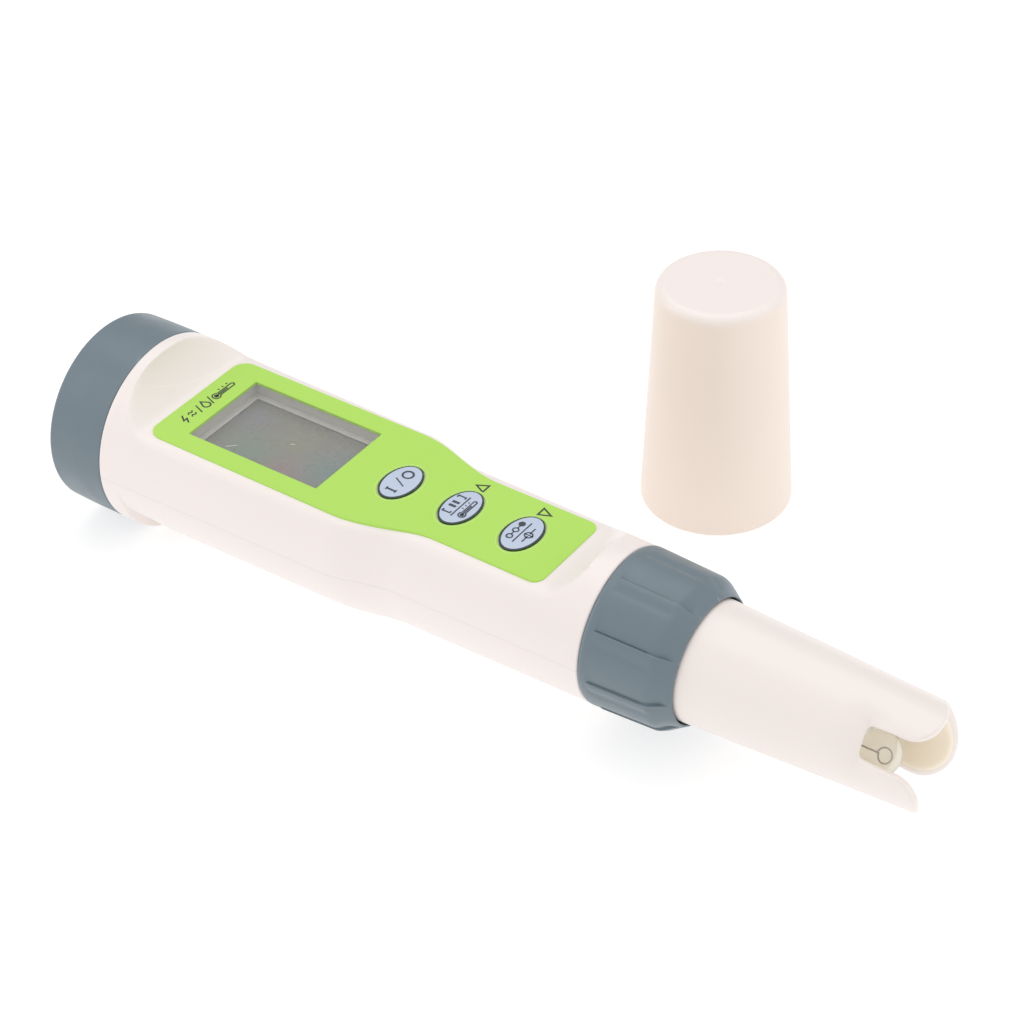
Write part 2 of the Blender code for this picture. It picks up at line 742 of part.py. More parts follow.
def build_board():
    board = boxes("circuit_board", "board_green", [(BOARD_U, (-BOARD_HALF, BOARD_HALF), BOARD_W)])
    for i, side in enumerate((-1, 1)):
        shank = oval(SCREW_SHANK + GAP, SCREW_SHANK + GAP, 12)
        place = {"location": (SCREW_U, side * SCREW_V, 0)}
        cut(board, prism(f"cut_board_{i + 1}", None, shank, 0, 10, **place))
        head = BOARD_W[1] + GAP
        layers = [
            (LEDGE_W[0], head, SCREW_SHANK, SCREW_SHANK),
            (head, head + 0.7, SCREW_HEAD, SCREW_HEAD),
            (head + 1.0, head + 1.1, SCREW_HEAD * 0.7, SCREW_HEAD * 0.65),
        ]
        stacked(f"board_screw_{i + 1}", "steel", layers, 12, **place)
    boxes("board_socket", "black_plastic", [SOCKET])


# ---------------------------------------------------------------- probe end


def collar_radius(u):
    at = (COLLAR_U[0], COLLAR_CHAMFER_U, COLLAR_U[1])
    return float(np.interp(u, at, (COLLAR_RADIUS, COLLAR_FRONT_RADIUS, COLLAR_MOUTH_RADIUS)))


def grip_cutter():
    """Shallow slanted cuts round the collar: each runs out on one side and ends in a step on the other."""
    sections = []
    stations = (GRIP_START_U, COLLAR_CHAMFER_U, COLLAR_U[1] + 0.6)
    run = math.radians(GRIP_RUN)
    for u in stations:
        radius = collar_radius(u)
        outer = radius + 2.5
        polar = [(radius + 0.05, -run), (radius - GRIP_DEPTH, 0.0), (outer, 0.0), (outer, -run)]
        sections.append([(u, r * math.cos(t), r * math.sin(t)) for r, t in polar])
    mesh = lofted("cut_grips", None, sections, False)
    single = mesh.data.copy()
    bm = bmesh.new()
    for i in range(GRIP_COUNT):
        copy = single.copy()
        copy.transform(Matrix.Rotation(math.radians(GRIP_PHASE + i * 360 / GRIP_COUNT), 4, "X"))
        bm.from_mesh(copy)
        bpy.data.meshes.remove(copy)
    bm.to_mesh(mesh.data)
    bm.free()
    bpy.data.meshes.remove(single)
    return mesh


def build_collar():
    profile = [
        (COLLAR_U[0], COLLAR_BORE, 0.3),
        (COLLAR_U[0], COLLAR_RADIUS, 0.5),
        (COLLAR_CHAMFER_U, COLLAR_FRONT_RADIUS),
        (COLLAR_U[1], COLLAR_MOUTH_RADIUS),
        (COLLAR_U[1], COLLAR_LIP_BORE),
        (COLLAR_LIP_U, COLLAR_LIP_BORE),
        (COLLAR_LIP_U, COLLAR_BORE),
    ]
    collar = turned("collar_nut", "cap_grey", rounded(profile, closed=True), 36)
    cut(collar, grip_cutter())
    turned("collar_washer", "black_plastic", ring_profile(WASHER_U, WASHER_R), 32)
    turned("probe_seal", "black_rubber", ring_profile(SEAL_U, SEAL_R), 32)


def shroud_bore(u):
    return float(np.interp(u, (SHROUD_REAR_U, SHROUD_TIP_U), (SHROUD_BORE_REAR, SHROUD_BORE_TIP)))


def slot_axes(index=0):
    """Along the pen, across a slot, and out through it."""
    angle = math.radians(SLOT_ANGLE + index * 360 / SLOT_COUNT)
    out = (0, math.cos(angle), math.sin(angle))
    across = (0, -math.sin(angle), math.cos(angle))
    return (1, 0, 0), across, out


def slot_outline():
    """A slot with a blunt end that runs straight, then opens along the rounded corners of both sides."""
    half = []
    for i in range(5):
        t = math.pi / 2 * i / 4
        half.append((SLOT_START_U + SLOT_CORNER * (1 - math.cos(t)), SLOT_HALF - SLOT_CORNER * (1 - math.sin(t))))
    radius = (SHROUD_TIP_RADIUS + SHROUD_BORE_TIP) / 2
    edge = math.asin(SLOT_HALF / radius)
    for i in range(6):
        t = math.pi / 2 * i / 5
        angle = edge + PETAL_CORNER * (1 - math.cos(t)) / radius
        half.append((SHROUD_TIP_U - PETAL_CORNER * (1 - math.sin(t)), radius * math.sin(angle)))
    half.append((SHROUD_TIP_U + 1, half[-1][1]))
    return half + [(u, -c) for u, c in reversed(half)]


def scallop_outline():
    """The shallow dip in the rim where a third slot would be."""
    middle = SCALLOP_U + SCALLOP_RADIUS
    return [(middle + a, b) for a, b in oval(SCALLOP_RADIUS, SCALLOP_RADIUS, 48)]


def build_shroud():
    profile = [
        (SHROUD_REAR_U, SHROUD_BORE_REAR),
        (SHROUD_REAR_U, SPIGOT_RADIUS),
        (FLANGE_U[0], SPIGOT_RADIUS),
        (FLANGE_U[0], FLANGE_RADIUS),
        (FLANGE_U[1], FLANGE_RADIUS),
        (FLANGE_U[1], SHROUD_ROOT_RADIUS),
        (SHROUD_TIP_U, SHROUD_TIP_RADIUS, 0.5),
        (SHROUD_TIP_U, SHROUD_BORE_TIP, 0.4),
    ]
    shroud = turned("probe_shroud", "probe_white", rounded(profile, closed=True), 36)
    outlines = [scallop_outline()] + [slot_outline()] * (SLOT_COUNT - 1)
    for i, outline in enumerate(outlines):
        cutter = prism(f"cut_rim_{i + 1}", None, outline, 4.9, CUTTER_REACH, axes=slot_axes(i))
        cut(shroud, cutter)


def off_axis(obj, out, across=0.0):
    """Moves a turned piece off the pen's axis, out towards the first slot and across it."""
    _, side, radial = slot_axes()
    obj.location = (Vector(radial) * out + Vector(side) * across) * MM
    return obj


def bore_in_carrier(carrier, name, radius, depth, out, across=0.0):
    front = CARRIER_U[1]
    profile = [(front - depth, 0), (front - depth, radius), (front + 5, radius), (front + 5, 0)]
    cut(carrier, off_axis(turned(name, None, profile, 16), out, across))


def build_carrier():
    rear, front = CARRIER_U
    cavity_end = front - CARRIER_FRONT_WALL
    profile = [
        (front, 0),
        (front, shroud_bore(front) - GAP, 0.4),
        (rear, shroud_bore(rear) - GAP),
        (rear, shroud_bore(rear) - GAP - CARRIER_WALL),
        (cavity_end, shroud_bore(front) - GAP - CARRIER_WALL),
        (cavity_end, 0),
    ]
    carrier = turned("electrode_carrier", "probe_white", rounded(profile), 28)
    through = CARRIER_FRONT_WALL + 4
    bore_in_carrier(carrier, "cut_stem", STEM_RADIUS + GAP, through, BULB_OFFSET)
    bore_in_carrier(carrier, "cut_pin_1", PIN_RADIUS + GAP, through, PIN_C, PIN_L)
    bore_in_carrier(carrier, "cut_pin_2", PIN_RADIUS + GAP, through, PIN_C, -PIN_L)
    bore_in_carrier(carrier, "cut_sensor", SENSOR_RADIUS + GAP, through, SENSOR_C)
    bore_in_carrier(carrier, "cut_junction", JUNCTION_RADIUS + GAP, 5.0, JUNCTION_C, JUNCTION_L)


def bulb_profile(radius, stem):
    """Half a bulb's outline from its tip back to the stem."""
    last = math.pi - math.asin(stem / radius)
    angles = [last * i / 8 for i in range(9)]
    return [(BULB_U + radius * math.cos(t), radius * math.sin(t)) for t in angles]


def build_ph_glass():
    outer = bulb_profile(BULB_RADIUS, STEM_RADIUS) + [(STEM_REAR_U, STEM_RADIUS)]
    inner = bulb_profile(BULB_RADIUS - GLASS_WALL, STEM_RADIUS - GLASS_WALL)
    profile = outer + [(STEM_REAR_U, STEM_RADIUS - GLASS_WALL)] + inner[::-1]
    profile[0] = (BULB_U + BULB_RADIUS, 0)
    profile[-1] = (BULB_U + BULB_RADIUS - GLASS_WALL, 0)
    off_axis(turned("ph_glass", "glass", profile, 20), BULB_OFFSET)


def build_wire():
    """The silver wire inside the bulb, ending in a small loop."""
    centre = BULB_U + 0.8
    path = [(u, 0, 0) for u in (82.0, 87.0, 91.0, centre - WIRE_LOOP - 0.3)]
    for i in range(12):
        t = math.pi + math.radians(28) * i
        path.append((centre + WIRE_LOOP * math.cos(t), WIRE_LOOP * math.sin(t), 0.055 * i))
    off_axis(swept("silver_wire", "steel", path, WIRE_RADIUS, 6), BULB_OFFSET)


def pin(name, slot, radius, out, across, u):
    low, high = u
    profile = rounded([(low, 0), (low, radius, 0.1), (high, radius, radius * 0.8), (high, 0)])
    off_axis(turned(name, slot, profile, 12), out, across)


def build_probe_inside():
    build_carrier()
    build_ph_glass()
    build_wire()
    pin("ec_pin_1", "steel", PIN_RADIUS, PIN_C, PIN_L, PIN_U)
    pin("ec_pin_2", "steel", PIN_RADIUS, PIN_C, -PIN_L, PIN_U)
    pin("temperature_sensor", "steel", SENSOR_RADIUS, SENSOR_C, 0.0, SENSOR_U)
    pin("reference_junction", "ceramic", JUNCTION_RADIUS, JUNCTION_C, JUNCTION_L, JUNCTION_U)
    boxes("probe_plug", "black_plastic", [PLUG])


def build_cover():
    edge = COVER_EDGE
    profile = [
        (0, COVER_MOUTH_RADIUS - COVER_WALL),
        (0, COVER_MOUTH_RADIUS, 0.4),
        (COVER_HEIGHT, COVER_TOP_RADIUS, edge),
        (COVER_HEIGHT, 0),
        (COVER_HEIGHT - COVER_WALL, 0),
        (COVER_HEIGHT - COVER_WALL, COVER_TOP_RADIUS - COVER_WALL, edge * 0.6),
        (0, COVER_MOUTH_RADIUS - COVER_WALL),
    ]
    solid = rounded(profile[3:0:-1]) + [profile[0]] + rounded(profile[6:3:-1])[1:]
    turned("protective_cap", "cover_cream", solid, 36, parent=COVER_STAND, upright=True)


build_casing()
build_strap_pin()
build_battery_cap()
build_battery_seal()
build_battery_contact()
build_cells()
build_tray()
build_label()
build_display()
build_keys()
build_board()
build_collar()
build_shroud()
build_probe_inside()
build_cover()
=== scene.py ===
"""Visual model of a water test pen that lies on its back, with its protective cap standing beside it.

Shapes are worked out in millimetres in the pen's own directions (U along the pen towards the probe,
V across it, W up from its axis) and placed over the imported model, which gives the axis and the
protective cap's place. A third coordinate in a path is the radius of the corner there.
"""

import math

import bmesh
import bpy
import numpy as np
from mathutils import Matrix, Vector


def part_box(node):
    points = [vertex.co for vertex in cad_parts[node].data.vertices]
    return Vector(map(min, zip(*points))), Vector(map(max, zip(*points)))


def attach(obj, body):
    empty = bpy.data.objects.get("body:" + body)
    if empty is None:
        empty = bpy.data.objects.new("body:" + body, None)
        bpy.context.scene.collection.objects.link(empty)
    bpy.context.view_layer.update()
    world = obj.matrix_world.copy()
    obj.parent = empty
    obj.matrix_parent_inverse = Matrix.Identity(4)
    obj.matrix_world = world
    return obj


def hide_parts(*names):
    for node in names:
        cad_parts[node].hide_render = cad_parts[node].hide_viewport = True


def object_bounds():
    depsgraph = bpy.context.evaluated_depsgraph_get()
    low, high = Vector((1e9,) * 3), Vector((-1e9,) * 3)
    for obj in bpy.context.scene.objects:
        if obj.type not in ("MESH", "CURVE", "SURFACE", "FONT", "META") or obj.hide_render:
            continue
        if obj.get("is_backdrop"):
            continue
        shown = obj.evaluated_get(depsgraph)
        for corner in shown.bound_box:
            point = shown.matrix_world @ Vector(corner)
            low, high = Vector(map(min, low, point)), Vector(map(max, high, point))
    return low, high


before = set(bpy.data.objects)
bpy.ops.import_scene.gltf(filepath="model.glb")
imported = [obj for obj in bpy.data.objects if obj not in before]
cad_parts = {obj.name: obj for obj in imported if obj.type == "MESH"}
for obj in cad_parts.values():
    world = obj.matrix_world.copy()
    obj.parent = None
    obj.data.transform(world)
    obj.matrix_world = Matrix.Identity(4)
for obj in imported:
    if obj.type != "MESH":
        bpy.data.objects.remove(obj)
CAD_LOW, CAD_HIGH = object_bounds()

MM = 0.001

# Battery cap
REAR_FACE_U = -75.15
CAP_FRONT_U = -62.43
CAP_REAR_RADIUS = 18.85
CAP_EDGE = 0.7
CAP_RADIUS = 19.0
CAP_BORE = 15.9
CAP_INNER_FACE_U = -73.3
CAP_FULL_U = -69.0
CAP_THREAD_U = (-71.4, -64.2)
CAP_RING_RADIUS = (15.2, 15.9)

# Casing
SHOULDER_REAR_U = -62.4
SHOULDER_FRONT_U = 43.0
RIM_RADIUS = 19.05
RIM_END_U = -58.4
WIDE_RADIUS = 18.2
WAIST_U = (-10.0, 4.0)
GRIP_RADIUS = 15.35
NECK_END_RADIUS = 14.85
WALL = 2.2
HOLLOW_U = (-60.4, 40.6)
HOLLOW_LIMIT = 17.8
REAR_EDGE = 0.5
FRONT_EDGE = 0.4
FLAT_HEIGHT = 10.5
FLAT_U = (-53.8, 33.0)
SCOOP_LENGTH = 6.1
SCOOP_RISE = 8.2
STEP_LENGTH = 5.7
STEP_RISE = 4.7
RAMP_POWER = 1.6
STRAP_FLOOR_DEPTH = 15.2
STRAP_END_U = -54.2
BACK_DEPTH_WIDE = 16.0
BACK_DEPTH_WAIST = 15.7
RIB_U = (-55.5, -54.5)
RIB_RADIUS = 18.1
RIB_HALF = 10.5
RIB_TOP_HALF = 9.5
RIB_TOP_W = -11.6
EDGE_SOFTNESS = (
    (FLAT_U[0] - 2.5, 0.85), (FLAT_U[0] + 3.0, 2.2), (FLAT_U[1] - 2.0, 2.2), (FLAT_U[1] + 3.0, 1.2),
)
REAR_NECK_END_U = -71.3
REAR_NECK_RADIUS = 14.6
REAR_BORE = 13.0
FRONT_NECK_END_U = 52.4
FRONT_NECK_RADIUS = 12.9
FRONT_BORE = 10.9
THREAD_HEIGHT = 0.6
THREAD_PITCH = 2.0
REAR_THREAD_U = (-71.0, -66.0)
FRONT_THREAD_U = (44.2, 51.8)
SEAL_GROOVE_U = (-65.2, -63.6)
SEAL_GROOVE_RADIUS = 13.9

# Label, window, display and keys
LABEL_U = (-53.75, 31.75)
LABEL_WIDE_HALF = 13.9
LABEL_NARROW_HALF = 9.6
LABEL_WAIST_U = (-10.0, 9.5)
LABEL_CORNER = (3.0, 2.1)
LABEL_W = (10.05, 10.7)
WINDOW_U = (-46.9, -16.9)
WINDOW_HALF = 9.75
WELL_U = (-47.2, -16.6)
WELL_HALF = 10.0
WINDOW_PANE_U = (-46.8, -17.0)
WINDOW_PANE_HALF = 9.65
WINDOW_W = (10.25, 10.6)
BEZEL_U = (-48.0, -15.8)
BEZEL_HALF = 10.9
BEZEL_W = (7.5, 10.2)
LIP_W = (7.42, 7.82)
LCD_U = (-47.4, -16.4)
LCD_HALF = 10.3
LCD_W = (5.8, 7.4)
KEY_FIRST_U = -5.1
KEY_PITCH = 13.33
KEY_HOLE = (3.65, 5.3)
KEY_PAD = (3.5, 5.15)
KEY_FACE = (3.12, 4.82)
KEY_FACE_SHIFT = 0.03
KEY_TOP_W = 11.0
PRINT_W = (10.69, 10.725)
LEGEND_U = -50.35
INK_SPREAD = 1.14
LINT_ENDS = (
    ((-41.6, -5.9), (-40.1, -4.5)), ((-31.9, 1.2), (-31.2, 1.7)), ((-25.2, -8.3), (-25.0, -8.2)),
)
POCKET_MARGIN = 1.1
POCKET_HALF = 11.2
KEY_CUT = (3.0, 4.6)
CUT_W = (4.6, 14.0)
LIP_OVERLAP = 0.2
LIP_WIDTH = 1.15
OVAL_POINTS = 72

# Collar
COLLAR_U = (43.05, 60.5)
COLLAR_RADIUS = 14.95
COLLAR_FRONT_RADIUS = 14.35
COLLAR_SHOULDER = 2.4
COLLAR_CHAMFER_U = 56.9
COLLAR_MOUTH_RADIUS = 12.0
COLLAR_BORE = 13.8
COLLAR_LIP_U = 57.0
COLLAR_LIP_BORE = 11.75
COLLAR_THREAD_U = (44.0, 53.0)
GRIP_COUNT = 9
GRIP_PHASE = 26.0
GRIP_RUN = 21.0
GRIP_DEPTH = 0.27
GRIP_SLIT = 0.12
GRIP_START_U = 45.2
GRIP_RIDGE = 0.15
GRIP_RIDGE_RUN = 5.5

# Probe
SHROUD_REAR_U = 46.0
SHROUD_TIP_U = 105.1
SPIGOT_RADIUS = 10.6
FLANGE_U = (54.0, 55.6)
FLANGE_RADIUS = 13.2
SHROUD_ROOT_RADIUS = 11.55
SHROUD_TIP_RADIUS = 9.45
SHROUD_BORE_REAR = 9.3
SHROUD_BORE_TIP = 7.4
SLOT_ANGLE = 28.0
SLOT_START_U = 93.9
SLOT_HALF = 2.95
SLOT_SHIFT = (10.0, 0.0, 3.0)
SLOT_RUN_OUT = 5.0
SLOT_SINK = 1.1
SLOT_SINK_REACH = 4.9
SLOT_CORNER = 1.0
PETAL_CORNER = (0.0, 4.8, 5.8)
SCALLOP_DEPTH = 2.6
RIM_SLANT = 0.8
PETAL_SOFTNESS = 0.35
PETAL_DIP = 0.35
PETAL_INNER_SOFTNESS = 1.1
PETAL_WALL = 1.75
PETAL_ROOT_U = 82.0
HALF_STEPS = 60
SIDE_STEPS = 40
CARRIER_U = (46.5, 91.3)
BULB_U = 94.8
BULB_OFFSET = -2.85
BULB_RADIUS = 4.1
STEM_RADIUS = 3.6
STEM_REAR_U = 80.6
WIRE_RADIUS = 0.12
WIRE_LOOP = 1.04
WIRE_LOOP_U = 95.9
WIRE_TILT = 45.4

# A pin is (piece, node, radius, distance out, distance across, slot).
PINS = (
    ("contact_pin_1", "ec_pin_1", 0.9, 2.9, 3.2, "steel"),
    ("contact_pin_2", "ec_pin_2", 0.9, 2.9, -3.2, "steel"),
    ("sensor_tube", "temperature_sensor", 1.1, 5.1, 0.0, "steel"),
    ("junction_wick", "reference_junction", 1.0, 0.9, -5.5, "ceramic"),
)

# Protective cap
COVER_MOUTH_RADIUS = 14.8
COVER_TOP_RADIUS = 12.2
COVER_HEIGHT = 48.5
COVER_WALL = 1.5
COVER_EDGE = 2.0

# Studio. A light box is (name, place from the middle, size, watts).
FLOOR_GLOW = 0.66
DIM_SIDE = (-0.467, 0.630, 0.621)
LIGHT_BOXES = (
    ("top_box", (-0.25, 0.25, 0.9), (0.9, 0.9), 3.3),
    ("left_box", (-0.9, -0.45, 0.45), (0.5, 0.8), 1.1),
    ("right_box", (0.85, 0.35, 0.4), (0.5, 0.8), 0.8),
)
CAMERA_ANGLES = (36.552, 38.398, -1.948)
CAMERA_PLACE = (0.22583, -0.32741, 0.32817)
CAMERA_LENS = 95.45

# Points closer than this, in metres, are one point.
SAME_POINT = 0.0000005

# The axis and the cap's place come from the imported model.
low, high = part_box("battery_cap")
AXIS = Vector((low.x - REAR_FACE_U * MM, (low.y + high.y) / 2, (low.z + high.z) / 2))
low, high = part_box("protective_cap")
COVER_FOOT = Vector(((low.x + high.x) / 2, (low.y + high.y) / 2, low.z))


# ---- materials


def put(tree, kind, values=None, **settings):
    """Adds a shader node. Each value is a number, a colour or another node's socket."""
    made = tree.nodes.new("ShaderNode" + kind)
    for key, value in settings.items():
        setattr(made, key, value)
    for key, value in (values or {}).items():
        if isinstance(value, bpy.types.NodeSocket):
            tree.links.new(value, made.inputs[key])
        else:
            made.inputs[key].default_value = value
    return made


def maths(tree, operation, a, b=0.0):
    return put(tree, "Math", {0: a, 1: b}, operation=operation).outputs[0]


def mixed(tree, factor, a, b):
    return put(tree, "Mix", {0: factor, 6: a, 7: b}, data_type="RGBA").outputs[2]


def noise(tree, place, scale, detail=3.0):
    return put(tree, "TexNoise", {"Vector": place, "Scale": scale, "Detail": detail}).outputs["Fac"]


def spread(tree, value, low, high, start=0.0, end=1.0):
    values = {"Value": value, "From Min": start, "From Max": end, "To Min": low, "To Max": high}
    return put(tree, "MapRange", values).outputs[0]


def shade(colour, factor):
    return (*[min(value * factor, 1.0) for value in colour], 1.0)


def new_material(name, fixed):
    """A material with its node tree, its shader and the place on the object."""
    material = bpy.data.materials.new(name)
    material.use_nodes = True
    tree = material.node_tree
    shader = tree.nodes["Principled BSDF"]
    for key, value in fixed.items():
        shader.inputs[key].default_value = value
    return material, tree, shader, put(tree, "TexCoord").outputs["Object"]


def surface(name, colour, roughness, **options):
    """A moulded, printed or metal surface: cloudy colour, uneven roughness, fine bump and worn edges.

    Options: drift and cloud_scale (colour change), tint (a function that changes the colour),
    wear and wear_tone (edges), grain in metres and grain_scale (bump), streak (stretch of the grain),
    relief (a function that gives a second bump), uneven, uneven_scale and uneven_detail (roughness),
    fixed (shader sockets set outright).
    """
    material, tree, shader, place = new_material(name, options.get("fixed", {}))
    drift = options.get("drift", 0.03)
    cloud = noise(tree, place, options.get("cloud_scale", 55.0))
    tone = mixed(tree, cloud, shade(colour, 1 - drift), shade(colour, 1 + drift))
    fine_place = place
    if "streak" in options:
        fine_place = put(tree, "Mapping", {"Vector": place, "Scale": options["streak"]}).outputs[0]
    fine = noise(tree, fine_place, options.get("grain_scale", 1500.0), 4.0)
    if "tint" in options:
        tone = options["tint"](tree, place, tone)
    wear = options.get("wear", 0.05)
    corners = put(tree, "NewGeometry").outputs["Pointiness"]
    worn = spread(tree, corners, 0.0, wear, 0.51, 0.58)
    tone = mixed(tree, worn, tone, shade(colour, options.get("wear_tone", 1.35)))
    detail = options.get("uneven_detail", 5.0)
    uneven = noise(tree, fine_place, options.get("uneven_scale", 260.0), detail)
    change = options.get("uneven", 0.07)
    rough = spread(tree, uneven, roughness - change, roughness + change, 0.3, 0.7)
    rough = maths(tree, "ADD", rough, maths(tree, "MULTIPLY", worn, 0.5))
    values = {"Strength": 1.0, "Distance": options.get("grain", 0.000006), "Height": fine}
    bump = put(tree, "Bump", values).outputs[0]
    if "relief" in options:
        height, distance = options["relief"](tree, place)
        bump = put(tree, "Bump", {"Distance": distance, "Height": height, "Normal": bump}).outputs[0]
    tree.links.new(tone, shader.inputs["Base Color"])
    tree.links.new(rough, shader.inputs["Roughness"])
    tree.links.new(bump, shader.inputs["Normal"])
    return material


def from_parting(tree, place):
    """How far a point is from the level where the two halves of the mould met."""
    height = put(tree, "SeparateXYZ", {0: place}).outputs[2]
    return maths(tree, "ABSOLUTE", maths(tree, "SUBTRACT", height, AXIS.z))


def parting_line(tree, place):
    """A fine raised flash line along both sides of the casing."""
    return spread(tree, from_parting(tree, place), 1.0, 0.0, 0.00004, 0.00014), 0.00003


def parting_tint(tree, place, tone):
    line = spread(tree, from_parting(tree, place), 0.16, 0.0, 0.00003, 0.00016)
    return mixed(tree, line, tone, (0.50, 0.44, 0.40, 1.0))


# Each cloud is (u, v, radius, colour).
LCD_CLOUDS = (
    (-37.5, -4.5, 9.0, (0.165, 0.245, 0.175, 1.0)),
    (-31.5, 2.5, 7.0, (0.230, 0.225, 0.160, 1.0)),
    (-28.0, -6.5, 6.5, (0.275, 0.190, 0.190, 1.0)),
    (-20.5, -1.5, 8.0, (0.140, 0.225, 0.215, 1.0)),
    (-43.0, 4.0, 6.0, (0.205, 0.200, 0.230, 1.0)),
)


def lcd_tint(tree, place, tone):
    """The faint green, blue and rose clouds of a switched-off display under its polariser."""
    wobble = noise(tree, place, 160.0, 1.0)
    for u, v, radius, colour in LCD_CLOUDS:
        middle = AXIS + Vector((u, v, LCD_W[1])) * MM
        away = put(tree, "VectorMath", {0: place, 1: middle}, operation="DISTANCE").outputs["Value"]
        away = maths(tree, "ADD", away, maths(tree, "MULTIPLY", wobble, 0.003))
        near = spread(tree, away, 0.85, 0.0, 0.001, (radius + 1.5) * MM)
        tone = mixed(tree, near, tone, colour)
    return tone


def board_tint(tree, place, tone):
    """Copper tracks under the green solder mask."""
    size = {"Scale": 900.0, "Mortar Size": 0.12, "Brick Width": 2.2, "Row Height": 0.7}
    bricks = put(tree, "TexBrick", {"Vector": place, **size}).outputs["Fac"]
    return mixed(tree, maths(tree, "MULTIPLY", bricks, 0.35), tone, (0.16, 0.42, 0.16, 1.0))


def print_tint(tree, place, tone):
    """The pinholes of a screen print."""
    holes = spread(tree, noise(tree, place, 5200.0, 2.0), 0.0, 0.25, 0.62, 0.72)
    return mixed(tree, holes, tone, (0.30, 0.42, 0.18, 1.0))


def bulb_edge_painted_shade(tree, place, tone):
    """Painted shade: the glass colour darkens where it is seen edge on, standing in for the dark outline
    of the bulb.
    """
    facing = put(tree, "LayerWeight", {"Blend": 0.5}).outputs["Facing"]
    return mixed(tree, spread(tree, facing, 0.0, 1.0, 0.5, 0.95), tone, (0.34, 0.33, 0.27, 1.0))


def cover_top_painted_light(tree, place, tone):
    """Painted light: the closed end is painted a paler colour than the wall, as its top face looks under
    the light.
    """
    height = put(tree, "SeparateXYZ", {0: place}).outputs[2]
    painted_top = spread(tree, height, 0.0, 1.0, COVER_FOOT.z + 0.0465, COVER_FOOT.z + 0.0482)
    return mixed(tree, painted_top, tone, (0.885, 0.805, 0.775, 1.0))


def painted_warm_light_inside(tree, place, tone):
    """Painted light: the inside of the probe is tinted warm, standing in for light that has come through
    the wall.
    """
    return mixed(tree, 0.5, tone, (0.93, 0.83, 0.66, 1.0))


# The white walls change their gloss slowly, because finer changes leave dark specks in short renders.
CALM = {"grain": 0.0000015, "uneven": 0.04, "uneven_scale": 42.0, "uneven_detail": 0.0}
# Painted glow: the inside of the probe and the carrier plug give out a little warm light, standing in for
# light that comes through the translucent white walls.
PAINTED_GLOW_THROUGH = {"Emission Color": (1.0, 0.85, 0.64, 1.0), "Emission Strength": 0.06}
PAINTED_GLOW_DEEP = {"Emission Color": (1.0, 0.93, 0.82, 1.0), "Emission Strength": 0.16}
SATIN = {"Specular IOR Level": 0.45}

